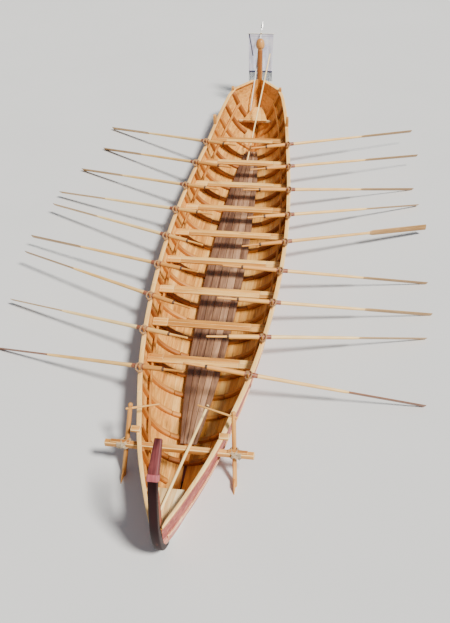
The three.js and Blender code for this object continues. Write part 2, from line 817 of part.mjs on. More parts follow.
piece(
  "boathook_bow",
  pole([-55, 4228, -121], [240, 7700, 1412], [
    [0, 20],
    [3700, 18],
    [3800, 10],
  ]),
  "oar",
);
piece(
  "boathook_stern",
  pole([345, -4650, 610], [-45, -6822, 660], [
    [0, 25],
    [2207, 25],
  ]),
  "oar",
);

// Oars: sections along the loom and blade, measured from the lock: [distance, half-width, half-thickness].
const OAR = { long: 4430, blade: 1400 };

function oar(side, lockY, sweep, dip, outboard, turn) {
  const { half, top } = sheer(lockY);
  const sweepAngle = THREE.MathUtils.degToRad(sweep);
  const dipAngle = THREE.MathUtils.degToRad(dip);
  const along = new THREE.Vector3(
    side * Math.cos(sweepAngle) * Math.cos(dipAngle),
    Math.sin(sweepAngle) * Math.cos(dipAngle),
    -Math.sin(dipAngle),
  );
  const across = new THREE.Vector3(-side * Math.sin(sweepAngle), Math.cos(sweepAngle), 0);
  across.applyAxisAngle(along, -side * THREE.MathUtils.degToRad(turn));
  const up = along.clone().cross(across).multiplyScalar(side).normalize();
  const lock = new THREE.Vector3(side * half, lockY, top + LOCK.height);
  const inboard = OAR.long - outboard;
  const shoulder = outboard - OAR.blade;
  const sections = [
    [-inboard, 17, 17],
    [-inboard + 12, 21, 21],
    [-inboard + 385, 22, 22],
    [-inboard + 410, 40, 40],
    [-inboard + 460, 45, 45],
    [-60, 45, 45],
    [150, 39, 39],
    [shoulder - 60, 28, 28],
    [shoulder, 52, 17],
    [shoulder + 60, 62, 12],
    [outboard, 66, 9],
  ];
  const sides = 8;
  return loft(
    sections.map(([distance, width, thick]) =>
      Array.from({ length: sides }, (_, k) => {
        const angle = ((k + 0.5) * 2 * Math.PI) / sides;
        const flat = distance >= shoulder ? 1 / Math.cos(Math.PI / sides) : 1;
        return lock
          .clone()
          .addScaledVector(along, distance)
          .addScaledVector(across, width * flat * Math.cos(angle))
          .addScaledVector(up, thick * flat * Math.sin(angle))
          .toArray();
      }),
    ),
  );
}

const ANGLES = 4; // values of one side in a row of the oars' table
OAR_ROWS.forEach(([y, ...values], i) => {
  piece(`oar_port_${i + 1}`, oar(-1, y, ...values.slice(0, ANGLES)), "oar");
  piece(`oar_starboard_${i + 1}`, oar(1, y, ...values.slice(ANGLES)), "oar");
});

export default boat;
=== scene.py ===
"""Open river boat for eighteen oars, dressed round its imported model.

Metres, X to starboard, Y to the bow, Z up. The origin is amidships on the waterline.
"""

import logging
import random
from bisect import bisect_right
from collections.abc import Callable, Sequence
from dataclasses import dataclass, field
from enum import Enum
from functools import cache
from math import atan, copysign, cos, exp, pi, radians, sin, tan

import bmesh
import bpy
from mathutils import Matrix, Vector


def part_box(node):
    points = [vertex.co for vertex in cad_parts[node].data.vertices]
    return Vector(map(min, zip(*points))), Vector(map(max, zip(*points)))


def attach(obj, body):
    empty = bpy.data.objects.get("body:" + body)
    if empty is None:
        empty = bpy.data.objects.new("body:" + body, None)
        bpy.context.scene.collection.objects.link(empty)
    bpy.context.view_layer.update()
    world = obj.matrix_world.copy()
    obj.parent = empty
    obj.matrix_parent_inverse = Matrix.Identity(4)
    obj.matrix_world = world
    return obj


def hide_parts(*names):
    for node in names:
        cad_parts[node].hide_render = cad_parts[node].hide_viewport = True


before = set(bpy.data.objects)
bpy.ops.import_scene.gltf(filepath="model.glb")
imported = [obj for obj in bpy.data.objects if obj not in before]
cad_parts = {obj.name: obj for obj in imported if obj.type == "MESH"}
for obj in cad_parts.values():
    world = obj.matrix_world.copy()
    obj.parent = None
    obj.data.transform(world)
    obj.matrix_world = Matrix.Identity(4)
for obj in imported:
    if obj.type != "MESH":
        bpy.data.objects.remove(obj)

LOG = logging.getLogger("river_boat")
CLOTH_SIZE = (0.71, 1.135)
UP = Vector((0.0, 0.0, 1.0))

Colour = tuple[float, float, float]
Point = tuple[float, float, float]
Pair = tuple[float, float]
Row = tuple[float, float, float, float]
Pairs = tuple[Pair, ...]
Points = tuple[Point, ...]
Rows = tuple[Row, ...]
Material = bpy.types.Material
Piece = bpy.types.Object
Socket = bpy.types.NodeSocket


class Side(Enum):
    """Side of the boat: its name and the sign of its X."""

    PORT = -1
    STARBOARD = 1

    @property
    def label(self) -> str:
        """Name of the side, as the nodes have it."""
        return self.name.lower()


class Run(Enum):
    """Which coordinates the grain of a timber follows."""

    LENGTHWISE = "along the boat"
    ACROSS = "across the boat"
    OWN = "along the piece's own attribute"


class Graph:
    """Node tree of one material, with short calls that add and link its nodes."""

    def __init__(self, name: str) -> None:
        """Starts a material.

        Args:
            name: Name of the material.
        """
        self.material = bpy.data.materials.new(name)
        self.material.use_nodes = True
        self.tree = self.material.node_tree
        self.shader = self.tree.nodes["Principled BSDF"]

    def feed(self, socket: Socket, value: object) -> None:
        """Links a socket, or sets it where the value is plain.

        Args:
            socket: Input that is fed.
            value: An output socket, or a number, colour or vector.
        """
        if isinstance(value, bpy.types.NodeSocket):
            self.tree.links.new(value, socket)
        elif isinstance(value, tuple) and len(value) == 3 and len(socket.default_value) == 4:
            socket.default_value = (*value, 1.0)
        else:
            socket.default_value = value

    def add(self, kind: str, inputs: dict | None = None, **settings: object) -> bpy.types.Node:
        """Adds a node.

        Args:
            kind: Type of the node, without its ShaderNode prefix.
            inputs: Values or sockets for its inputs, by name or number.
            **settings: Properties of the node.

        Returns:
            The node.
        """
        node = self.tree.nodes.new("ShaderNode" + kind)
        for key, value in settings.items():
            setattr(node, key, value)
        for key, value in (inputs or {}).items():
            self.feed(node.inputs[key], value)
        return node

    def surface(self, **inputs: object) -> None:
        """Sets the shader's own sockets.

        Args:
            **inputs: Values or sockets by name, with _ for a space.
        """
        for key, value in inputs.items():
            self.feed(self.shader.inputs[key.replace("_", " ")], value)

    def place(self, run: Run, along: float, across: float) -> Socket:
        """Coordinates stretched along the grain.

        Args:
            run: Which way the grain runs.
            along: Scale along the grain, per metre.
            across: Scale across it, per metre.

        Returns:
            The stretched coordinates.
        """
        if run is Run.OWN:
            source = self.add("Attribute", attribute_name="grain").outputs["Vector"]
        else:
            source = self.here()
        scale = (along, across, across) if run is not Run.LENGTHWISE else (across, along, across)
        return self.add("Mapping", {"Vector": source, "Scale": scale}).outputs["Vector"]

    def here(self) -> Socket:
        """Coordinates of the piece itself, in metres."""
        return self.add("TexCoord").outputs["Object"]

    def noise(self, where: Socket, scale: float = 1.0, detail: float = 4.0, twist: float = 0.0) -> Socket:
        """Noise value from 0 to 1 at some coordinates."""
        inputs = {"Vector": where, "Scale": scale, "Detail": detail, "Distortion": twist}
        return self.add("TexNoise", inputs).outputs["Fac"]

    def cells(self, where: Socket, scale: float, feature: str = "F1") -> Socket:
        """Distance to the nearest of scattered points."""
        return self.add("TexVoronoi", {"Vector": where, "Scale": scale}, feature=feature).outputs["Distance"]

    def calc(self, operation: str, *terms: object) -> Socket:
        """Result of one operation on values."""
        return self.add("Math", dict(enumerate(terms)), operation=operation).outputs["Value"]

    def ramp(self, value: Socket, *stops: tuple[float, Colour]) -> Socket:
        """Colour read from stops.

        Args:
            value: Value that is looked up.
            *stops: A position and a colour each.

        Returns:
            The colour.
        """
        node = self.add("ValToRGB", {"Fac": value})
        elements = node.color_ramp.elements
        while len(elements) < len(stops):
            elements.new(0.5)
        for element, (position, colour) in zip(elements, stops):
            element.position = position
            element.color = (*colour, 1.0)
        return node.outputs["Color"]

    def step(self, value: Socket, low: float, high: float, bottom: float = 0.0, top: float = 1.0) -> Socket:
        """Value mapped from low..high to bottom..top and held there."""
        inputs = {"Value": value, 1: low, 2: high, 3: bottom, 4: top}
        return self.add("MapRange", inputs).outputs["Result"]

    def sum(self, *terms: tuple[Socket, float]) -> Socket:
        """Weighted sum of values.

        Args:
            *terms: A value and its weight each.

        Returns:
            The sum.
        """
        (value, weight), *rest = terms
        total = self.calc("MULTIPLY", value, weight)
        for value, weight in rest:
            total = self.calc("MULTIPLY_ADD", value, weight, total)
        return total

    def mix(self, share: Socket | float, first: object, second: object) -> Socket:
        """Mix of two colours."""
        return self.add("Mix", {0: share, 6: first, 7: second}, data_type="RGBA").outputs[2]

    def tone(self) -> Socket:
        """How light or dark a plank is among its neighbours, about -1 to 1."""
        return self.add("Attribute", attribute_name="tone").outputs["Fac"]

    def bump(self, height: Socket, strength: float, distance: float) -> Socket:
        """Normal from a height."""
        inputs = {"Height": height, "Strength": strength, "Distance": distance}
        return self.add("Bump", inputs).outputs["Normal"]


def shaded(colour: Colour, share: float) -> Colour:
    """Colour taken down to a share of its light."""
    return tuple(c * share for c in colour)


@dataclass(frozen=True)
class Timber:
    """Bare or oiled wood with grain, fibres, knots and a tone of its own for each plank."""

    name: str
    deep: Colour
    body: Colour
    pale: Colour
    run: Run = Run.LENGTHWISE
    contrast: float = 1.0
    roughness: float = 0.55
    knots: float = 0.6
    grime: float = 0.35
    coat: float = 0.0

    def material(self) -> Material:
        """Builds the finish.

        Returns:
            The material.
        """
        g = Graph(self.name)
        streak = g.noise(g.place(self.run, 0.9, 17.0), detail=5.0, twist=1.1)
        fibre = g.noise(g.place(self.run, 7.0, 210.0), detail=3.0)
        patch = g.noise(g.place(self.run, 0.7, 2.3), detail=3.0)
        value = g.sum((streak, 0.62 * self.contrast), (fibre, 0.3), (patch, 0.34), (g.tone(), 0.13))
        middle = 0.31 * self.contrast + 0.32
        wood = g.ramp(value, (middle - 0.2, self.deep), (middle, self.body), (middle + 0.17, self.pale))
        knot = g.step(g.cells(g.place(self.run, 1.1, 4.2), 1.0), 0.05, 0.13, self.knots, 0.0)
        wood = g.mix(knot, wood, shaded(self.deep, 0.45))
        dirt = g.noise(g.place(self.run, 2.2, 6.0), detail=6.0)
        wood = g.mix(g.step(dirt, 0.5, 0.74, 0.0, self.grime), wood, shaded(self.body, 0.5))
        height = g.sum((fibre, 0.5), (streak, 0.6), (knot, 0.4))
        sheen = g.step(patch, 0.3, 0.7, self.roughness - 0.09, self.roughness + 0.1)
        g.surface(Base_Color=wood, Roughness=sheen, Normal=g.bump(height, 0.35, 0.0025))
        if self.coat:
            g.surface(Coat_Weight=self.coat, Coat_Roughness=0.25)
        return g.material


@dataclass(frozen=True)
class Paint:
    """Brushed paint on planks, rubbed, bleached and chipped down to the wood."""

    name: str
    base: Colour
    faded: Colour
    under: Colour
    run: Run = Run.LENGTHWISE
    wear: float = 0.4
    roughness: float = 0.5
    gloss: float = 0.5

    def material(self) -> Material:
        """Builds the finish.

        Returns:
            The material.
        """
        g = Graph(self.name)
        brush = g.noise(g.place(self.run, 1.6, 60.0), detail=4.0)
        cloud = g.noise(g.place(self.run, 1.1, 5.0), detail=5.0, twist=0.5)
        streak = g.noise(g.place(self.run, 0.6, 22.0), detail=6.0, twist=0.8)
        value = g.sum((cloud, 0.5), (streak, 0.55), (brush, 0.2), (g.tone(), 0.12))
        halfway = tuple((a + b) / 2 for a, b in zip(self.base, self.faded))
        paint = g.ramp(value, (0.5, self.base), (0.64, halfway), (0.76, self.faded))
        chip = g.noise(g.place(self.run, 5.0, 34.0), detail=8.0, twist=0.3)
        bare = g.step(g.sum((chip, 0.8), (cloud, 0.3)), 0.72 - 0.16 * self.wear, 0.78 - 0.16 * self.wear)
        colour = g.mix(bare, paint, self.under)
        stain = g.step(g.noise(g.place(self.run, 3.0, 9.0), detail=6.0), 0.55, 0.8, 0.0, 0.3)
        colour = g.mix(stain, colour, shaded(self.base, 0.4))
        normal = g.bump(g.sum((brush, 0.4), (bare, -0.7), (streak, 0.4)), 0.4, 0.0012)
        sheen = g.step(value, 0.4, 0.8, self.roughness - 0.08, self.roughness + 0.2)
        g.surface(Base_Color=colour, Roughness=sheen, Normal=normal, Specular_IOR_Level=self.gloss)
        return g.material


@dataclass(frozen=True)
class Rope:
    """Laid rope: its strands wind round the piece's own attribute."""

    name: str
    light: Colour
    dark: Colour
    strands: float = 3.0
    pitch: float = 0.045

    def material(self) -> Material:
        """Builds the finish.

        Returns:
            The material.
        """
        g = Graph(self.name)
        where = g.add("Attribute", attribute_name="lay").outputs["Vector"]
        parts = g.add("SeparateXYZ", {"Vector": where}).outputs
        around = g.calc("ARCTAN2", parts["Z"], parts["Y"])
        ridge = g.calc("SINE", g.sum((parts["X"], 2 * pi / self.pitch), (around, self.strands)))
        hair = g.noise(g.here(), 420.0, 4.0)
        # darker in the grooves between the strands: painted shade; the fibre noise mottles the rope's own colour
        colour = g.ramp(g.sum((ridge, 0.32), (hair, 0.7)), (0.1, self.dark), (0.62, self.light))
        bump = g.bump(g.sum((ridge, 1.0), (hair, 0.5)), 0.8, 0.003)
        g.surface(Base_Color=colour, Roughness=0.88, Normal=bump)
        return g.material


@dataclass(frozen=True)
class Hide:
    """Greased leather with pores and rubbed patches."""

    name: str
    base: Colour
    rubbed: Colour
    roughness: float = 0.48

    def material(self) -> Material:
        """Builds the finish.

        Returns:
            The material.
        """
        g = Graph(self.name)
        pores = g.cells(g.here(), 330.0, "SMOOTH_F1")
        patch = g.noise(g.here(), 16.0, 5.0)
        colour = g.ramp(g.sum((patch, 0.8), (pores, 0.25)), (0.4, self.base), (0.68, self.rubbed))
        sheen = g.step(patch, 0.3, 0.7, self.roughness - 0.12, self.roughness + 0.15)
        normal = g.bump(g.sum((pores, 1.0), (patch, 0.6)), 0.5, 0.0015)
        g.surface(Base_Color=colour, Roughness=sheen, Normal=normal)
        return g.material


@dataclass(frozen=True)
class Metal:
    """Forged or polished metal with hammer marks and a little tarnish."""

    name: str
    base: Colour
    tarnish: Colour
    roughness: float = 0.35

    def material(self) -> Material:
        """Builds the finish.

        Returns:
            The material.
        """
        g = Graph(self.name)
        patch = g.noise(g.here(), 30.0, 6.0)
        dents = g.cells(g.here(), 90.0, "SMOOTH_F1")
        colour = g.ramp(patch, (0.42, self.base), (0.7, self.tarnish))
        sheen = g.step(patch, 0.3, 0.75, self.roughness - 0.1, self.roughness + 0.3)
        g.surface(Base_Color=colour, Roughness=sheen, Normal=g.bump(dents, 0.4, 0.002), Metallic=0.9)
        return g.material


@dataclass(frozen=True)
class Linen:
    """Woven linen with dark borders, read from the cloth's own UV map in metres."""

    name: str
    base: Colour
    shade: Colour
    border: Colour
    wide: float
    tall: float
    stripe: float = 0.028
    slope: float = 0.17
    stop: float = 0.5
    hem: float = 0.042
    thread: float = 0.0016
    # how softly a dark border ends, and how wide the line under the top hem is
    soft: float = 0.003
    line: float = 0.012

    def material(self) -> Material:
        """Builds the finish.

        Returns:
            The material.
        """
        g = Graph(self.name)
        flat = g.add("UVMap", uv_map="cut").outputs["UV"]
        parts = g.add("SeparateXYZ", {"Vector": flat}).outputs
        threads = [g.calc("SINE", g.sum((parts[axis], 2 * pi / self.thread))) for axis in "XY"]
        slub = g.noise(g.add("Mapping", {"Vector": flat, "Scale": (9.0, 120.0, 1.0)}).outputs["Vector"], 1.0, 4.0)
        stain = g.noise(flat, 5.0, 5.0)
        # darker patches toward the shade colour: painted fold shade, mixed with the cloth's own blotches
        cloth = g.ramp(g.sum((stain, 0.6), (slub, 0.4)), (0.36, self.shade), (0.56, self.base))
        slant = g.sum((parts["X"], 1.0), (parts["Y"], self.slope))
        start = self.slope * self.tall
        left = g.step(slant, start + self.stripe, start + self.stripe + self.soft, 1.0, 0.0)
        for limit in (g.step(slant, start - self.soft, start), g.step(parts["Y"], self.stop - 0.004, self.stop)):
            left = g.calc("MULTIPLY", left, limit)
        foot = g.step(parts["Y"], self.hem, self.hem + self.soft, 1.0, 0.0)
        top = self.tall - 1.4 * self.hem
        hem = g.step(parts["Y"], top, top + 0.004, 1.0, 0.0)
        hem = g.calc("MULTIPLY", hem, g.step(parts["Y"], top - self.line, top - self.line / 2))
        cloth = g.mix(hem, cloth, shaded(self.shade, 0.55))
        colour = g.mix(g.calc("MAXIMUM", left, foot), cloth, self.border)
        bump = g.bump(g.sum((g.calc("MULTIPLY", *threads), 0.4), (slub, 1.2)), 0.5, 0.0006)
        g.surface(Base_Color=colour, Roughness=0.92, Normal=bump, Sheen_Weight=0.25, Subsurface_Weight=0.08)
        return g.material


@dataclass(frozen=True)
class Plain:
    """Even matt ground with a faint cloudiness."""

    name: str
    base: Colour
    roughness: float = 0.9

    def material(self) -> Material:
        """Builds the finish.

        Returns:
            The material.
        """
        g = Graph(self.name)
        colour = g.ramp(g.noise(g.here(), 0.35, 3.0), (0.3, self.base), (0.7, shaded(self.base, 0.965)))
        g.surface(Base_Color=colour, Roughness=self.roughness)
        return g.material


TIMBERS = (
    Timber("inner_pine", (0.4, 0.14, 0.018), (0.74, 0.34, 0.065), (0.9, 0.54, 0.16), knots=0.5),
    Timber("thwart_pine", (0.52, 0.2, 0.03), (0.84, 0.4, 0.075), (0.95, 0.57, 0.17), Run.ACROSS, knots=0.5),
    Timber("cap_pine", (0.72, 0.34, 0.075), (0.97, 0.56, 0.16), (1.0, 0.72, 0.3), contrast=0.8, knots=0.3),
    # the cap's sides: the same pine made darker, painted shade
    Timber("cap_side", (0.34, 0.1, 0.012), (0.66, 0.25, 0.04), (0.82, 0.4, 0.1), knots=0.3),
    # pale edges: wear where wood and paint are rubbed; on the wale, a painted highlight along the edge that catches the
    # sun
    Timber("worn_edge", (0.76, 0.42, 0.12), (0.98, 0.64, 0.24), (1.0, 0.78, 0.38), contrast=0.6, knots=0.0),
    Timber("rib_oak", (0.2, 0.05, 0.006), (0.45, 0.155, 0.02), (0.68, 0.3, 0.06), Run.OWN, knots=0.4),
    Timber("floor_oak", (0.12, 0.055, 0.03), (0.29, 0.155, 0.085), (0.47, 0.28, 0.16), grime=0.55),
    Timber("deck_pine", (0.56, 0.36, 0.15), (0.86, 0.62, 0.3), (0.97, 0.79, 0.47), contrast=0.8),
    Timber("post_oak", (0.15, 0.038, 0.004), (0.35, 0.115, 0.014), (0.6, 0.27, 0.05), Run.OWN, coat=0.3),
    Timber("knob_oak", (0.3, 0.09, 0.012), (0.56, 0.23, 0.04), (0.78, 0.44, 0.12), Run.OWN, coat=0.3),
    Timber("hook_pine", (0.62, 0.36, 0.1), (0.92, 0.62, 0.22), (1.0, 0.77, 0.38), Run.OWN, 0.7, knots=0.2),
    Timber("beam_pine", (0.36, 0.12, 0.018), (0.66, 0.28, 0.05), (0.84, 0.46, 0.13), Run.ACROSS),
    Timber("stock_pine", (0.36, 0.13, 0.02), (0.68, 0.31, 0.065), (0.86, 0.5, 0.16), Run.OWN),
    Timber("oar_ash", (0.6, 0.32, 0.085), (0.94, 0.58, 0.19), (1.0, 0.74, 0.34), Run.OWN, 0.7, knots=0.1, grime=0.15),
    Timber("loom_ash", (0.42, 0.15, 0.025), (0.76, 0.34, 0.065), (0.9, 0.52, 0.15), Run.OWN, 0.8, knots=0.2),
    Timber("blade_ash", (0.25, 0.13, 0.04), (0.48, 0.27, 0.1), (0.66, 0.42, 0.18), Run.OWN, 0.9, 0.34, 0.1, 0.4),
    Timber("blade_stained", (0.14, 0.045, 0.018), (0.3, 0.11, 0.045), (0.45, 0.2, 0.09), Run.OWN, 0.9, 0.34, 0.1, 0.4),
)
PAINTS = (
    Paint("keel_oak", (0.09, 0.012, 0.014), (0.2, 0.05, 0.05), (0.3, 0.16, 0.09), wear=0.2),
    Paint("red_side", (0.3, 0.034, 0.03), (0.78, 0.3, 0.2), (0.86, 0.54, 0.3), wear=0.55),
    Paint("red_sheer", (0.26, 0.024, 0.022), (0.7, 0.22, 0.15), (0.8, 0.46, 0.24), wear=0.4),
    Paint("red_wale", (0.42, 0.085, 0.08), (0.76, 0.38, 0.33), (0.84, 0.6, 0.4), wear=0.6),
    Paint("pale_bottom", (0.42, 0.46, 0.36), (0.68, 0.7, 0.58), (0.6, 0.48, 0.3), wear=0.2),
    # stern post: its dark red paint taken down to near black, partly painted shade
    Paint("dark_post", (0.006, 0.0006, 0.0006), (0.026, 0.003, 0.003), (0.09, 0.025, 0.014), Run.OWN, 0.15, 0.42, 0.18),
    Paint("head_red", (0.06, 0.007, 0.008), (0.25, 0.055, 0.055), (0.28, 0.11, 0.06), Run.OWN, 0.4, 0.42, 0.3),
    Paint("ring_red", (0.24, 0.032, 0.04), (0.52, 0.15, 0.16), (0.5, 0.24, 0.14), Run.OWN, 0.3),
    Paint("knee_red", (0.22, 0.026, 0.014), (0.52, 0.15, 0.07), (0.62, 0.3, 0.14), Run.OWN, 0.35),
    Paint("white_pole", (0.78, 0.76, 0.7), (0.9, 0.88, 0.83), (0.7, 0.55, 0.35), Run.OWN, 0.15),
)
OTHERS = (
    Rope("pale_rope", (0.74, 0.6, 0.4), (0.34, 0.23, 0.12)),
    Rope("brown_rope", (0.66, 0.4, 0.18), (0.24, 0.11, 0.04)),
    Hide("leather", (0.2, 0.055, 0.025), (0.42, 0.15, 0.07)),
    Metal("iron", (0.13, 0.11, 0.1), (0.26, 0.12, 0.06), 0.55),
    Metal("silver", (0.8, 0.8, 0.8), (0.5, 0.48, 0.45), 0.25),
    Linen("linen", (0.9, 0.9, 1.0), (0.64, 0.65, 0.86), (0.014, 0.018, 0.08), *CLOTH_SIZE),
    Rope("fringe", (0.12, 0.18, 0.22), (0.04, 0.065, 0.09), 2.0, 0.012),
    Plain("floor", (0.66, 0.67, 0.67)),
)
FINISHES = {item.name: item for item in (*TIMBERS, *PAINTS, *OTHERS)}


@cache
def finish(name: str) -> Material:
    """Material of a finish, made the first time that it is asked for."""
    return FINISHES[name].material()


def link(piece: Piece) -> Piece:
    """Adds an object to the scene."""
    bpy.context.scene.collection.objects.link(piece)
    return piece


def turns(count: int) -> list[float]:
    """Angles at even steps right round."""
    return [2 * pi * i / count for i in range(count)]


def shares(first: float, last: float, pitch: float) -> list[float]:
    """Places from first to last, about a pitch apart."""
    count = max(round(abs(last - first) / pitch), 1)
    return [first + (last - first) * i / count for i in range(count + 1)]


def facing(at: Vector, along: Vector) -> Matrix:
    """Matrix that puts +Z along a direction, at a place."""
    return Matrix.Translation(at) @ along.to_track_quat("Z", "Y").to_matrix().to_4x4()


def axes(across: Vector, up: Vector, along: Vector, at: Vector) -> Matrix:
    """Matrix that puts X, Y and Z along three directions, at a place."""
    return Matrix.Translation(at) @ Matrix((across, up, along)).transposed().to_4x4()


def level_at(height: Callable[[float], float], z: float) -> float:
    """Level at which a height is reached.

    Args:
        height: Gives the height at a level from 0 to 1, and grows with it.
        z: Height that is looked for.

    Returns:
        The level, from halving the range again and again.
    """
    low, high = 0.0, 1.0
    for _ in range(24):
        middle = (low + high) / 2
        if height(middle) < z:
            low = middle
        else:
            high = middle
    return low


def fair(rows: Sequence[tuple[float, ...]], steps: int = 4) -> list[tuple[float, ...]]:
    """Rows filled in along a smooth curve.

    Args:
        rows: Rows that the curve goes through.
        steps: How many stretches each gap is cut into.

    Returns:
        The finer rows.
    """
    fine = []
    for i in range(len(rows) - 1):
        near = [rows[max(i - 1, 0)], rows[i], rows[i + 1], rows[min(i + 2, len(rows) - 1)]]
        for k in range(steps):
            t = k / steps
            weights = (
                (-t + 2 * t**2 - t**3) / 2,
                (2 - 5 * t**2 + 3 * t**3) / 2,
                (t + 4 * t**2 - 3 * t**3) / 2,
                (t**3 - t**2) / 2,
            )
            fine.append(tuple(sum(w * value for w, value in zip(weights, column)) for column in zip(*near)))
    return [*fine, rows[-1]]


@dataclass(frozen=True)
class Edge:
    """How the edges of a piece are rounded: width, segments, least angle in degrees, slot of the new faces."""

    width: float
    segments: int = 2
    angle: float = 35.0
    slot: int = -1


class Bench:
    """Where pieces are made: primitives, shaping, modifiers, joining."""

    @staticmethod
    def pick(*pieces: Piece) -> None:
        """Makes pieces the only selected ones, and the first of them the active one.

        Args:
            *pieces: The pieces, if any.
        """
        bpy.ops.object.select_all(action="DESELECT")
        for piece in reversed(pieces):
            piece.select_set(True)
            bpy.context.view_layer.objects.active = piece

    @staticmethod
    def name(name: str) -> Piece:
        """Names the active piece and its mesh."""
        bpy.context.active_object.name = bpy.context.active_object.data.name = name
        return bpy.context.active_object

    @staticmethod
    def write(piece: Piece, name: str, kind: str, values: Sequence) -> None:
        """Stores one value for each vertex.

        Args:
            piece: Piece that gets the attribute.
            name: Name of the attribute.
            kind: FLOAT or FLOAT_VECTOR.
            values: One number or vector for each vertex.
        """
        attribute = piece.data.attributes.get(name) or piece.data.attributes.new(name, kind, "POINT")
        if kind == "FLOAT":
            attribute.data.foreach_set("value", list(values))
        else:
            attribute.data.foreach_set("vector", [x for v in values for x in v])

    @classmethod
    def grain(cls, piece: Piece, order: str) -> None:
        """Runs the grain of a piece along the first of its axes in an order such as yxz."""
        cls.write(piece, "grain", "FLOAT_VECTOR", [getattr(v.co, order) for v in piece.data.vertices])

    @classmethod
    def tone(cls, piece: Piece, value: float) -> Piece:
        """Gives a whole piece its own lightness among its like."""
        cls.write(piece, "tone", "FLOAT", [value] * len(piece.data.vertices))
        return piece

    @classmethod
    def modify(cls, piece: Piece, kind: str, **settings: object) -> None:
        """Adds a modifier and applies it.

        Args:
            piece: Piece that is modified.
            kind: Type of the modifier.
            **settings: Properties of the modifier.
        """
        cls.pick(piece)
        modifier = piece.modifiers.new(kind.lower(), kind)
        for key, value in settings.items():
            setattr(modifier, key, value)
        bpy.ops.object.modifier_apply(modifier=modifier.name)

    @classmethod
    def smooth(cls, piece: Piece, angle: float) -> None:
        """Shades a piece smooth, but for edges sharper than an angle in degrees."""
        cls.pick(piece)
        bpy.ops.object.shade_smooth_by_angle(angle=radians(angle))

    @classmethod
    def sheet(cls, name: str, along: int, across: int, place: Callable[[float, float], Vector]) -> Piece:
        """Grid bent to a form.

        Args:
            name: Its name.
            along: Faces along it.
            across: Faces across it.
            place: Gives the point at two shares from 0 to 1, along and across.

        Returns:
            The bent grid.
        """
        cls.pick()
        bpy.ops.mesh.primitive_grid_add(x_subdivisions=along, y_subdivisions=across, size=2.0)
        piece = cls.name(name)
        for vertex in piece.data.vertices:
            vertex.co = place((vertex.co.x + 1) / 2, (vertex.co.y + 1) / 2)
        return piece

    @classmethod
    def tube(cls, name: str, rings: Sequence[Sequence[Vector]], closed: bool = False) -> Piece:
        """Solid through rings of points, from a grid rolled up and capped.

        Args:
            name: Its name.
            rings: Rings with the same number of points each.
            closed: Whether the last ring joins the first.

        Returns:
            The solid, with its grain and lay attributes.
        """
        around = len(rings[0])
        count = len(rings) if closed else len(rings) - 1
        spots: list[tuple[int, int]] = []

        def place(u: float, v: float) -> Vector:
            """Point of the rings at two shares, noted among the spots."""
            spots.append((round(u * count) % len(rings), round(v * around) % around))
            return rings[spots[-1][0]][spots[-1][1]]

        piece = cls.sheet(name, count, around, place)
        middles = [sum(ring, Vector()) / around for ring in rings]
        travel = [0.0]
        for before, after in zip(middles, middles[1:]):
            travel.append(travel[-1] + (after - before).length)
        grains, lays = [], []
        for row, spot in spots:
            reach = (rings[row][spot] - middles[row]).length
            turn = 2 * pi * spot / around
            grains.append((travel[row], reach * cos(turn), reach * sin(turn)))
            lays.append((travel[row], cos(turn), sin(turn)))
        cls.write(piece, "grain", "FLOAT_VECTOR", grains)
        cls.write(piece, "lay", "FLOAT_VECTOR", lays)
        cls.pick(piece)
        bpy.ops.object.mode_set(mode="EDIT")
        bpy.ops.mesh.select_all(action="SELECT")
        bpy.ops.mesh.remove_doubles(threshold=1e-5)
        if not closed:
            bpy.ops.mesh.select_all(action="DESELECT")
            bpy.ops.mesh.select_non_manifold(extend=False, use_non_contiguous=False)
            bpy.ops.mesh.fill_holes(sides=0)
            bpy.ops.mesh.select_all(action="SELECT")
        bpy.ops.mesh.normals_make_consistent(inside=False)
        bpy.ops.object.mode_set(mode="OBJECT")
        return piece

    @classmethod
    def block(cls, name: str, low: Sequence[float], high: Sequence[float]) -> Piece:
        """Block between two corners.

        Args:
            name: Its name.
            low: Its lowest corner.
            high: Its highest corner.

        Returns:
            The block.
        """
        cls.pick()
        low, high = Vector(low), Vector(high)
        bpy.ops.mesh.primitive_cube_add(size=1.0, location=(low + high) / 2, scale=high - low)
        bpy.ops.object.transform_apply(location=True, rotation=True, scale=True)
        return cls.name(name)

    @classmethod
    def lathe(cls, name: str, profile: Sequence[tuple[float, ...]], sides: int = 16) -> Piece:
        """Round or oval piece along +Z, extruded row by row from a circle.

        Args:
            name: Its name.
            profile: Distance along it and half-width in X, and in Y where it is another, row by row.
            sides: Sides of its section.

        Returns:
            The piece, its grain along it.
        """
        cls.pick()
        bpy.ops.mesh.primitive_circle_add(vertices=sides, radius=1.0, fill_type="NGON")
        piece = cls.name(name)
        bpy.ops.object.mode_set(mode="EDIT")
        bpy.ops.mesh.select_all(action="SELECT")
        (at, wide, thick), *rest = [(*row, row[-1])[:3] for row in profile]
        bpy.ops.transform.resize(value=(wide, thick, 1.0), center_override=(0, 0, 0))
        bpy.ops.transform.translate(value=(0, 0, at))
        for distance, half_x, half_y in rest:
            bpy.ops.mesh.extrude_region_move(TRANSFORM_OT_translate={"value": (0, 0, distance - at)})
            bpy.ops.transform.resize(value=(half_x / wide, half_y / thick, 1.0), center_override=(0, 0, distance))
            at, wide, thick = distance, half_x, half_y
        bpy.ops.mesh.select_all(action="SELECT")
        bpy.ops.mesh.normals_make_consistent(inside=False)
        bpy.ops.object.mode_set(mode="OBJECT")
        cls.grain(piece, "zxy")
        return piece

    @classmethod
    def aim(cls, piece: Piece, start: Sequence[float], end: Sequence[float]) -> Piece:
        """Puts a piece that was made along +Z at a start, heading for an end."""
        piece.data.transform(facing(Vector(start), (Vector(end) - Vector(start)).normalized()))
        return piece

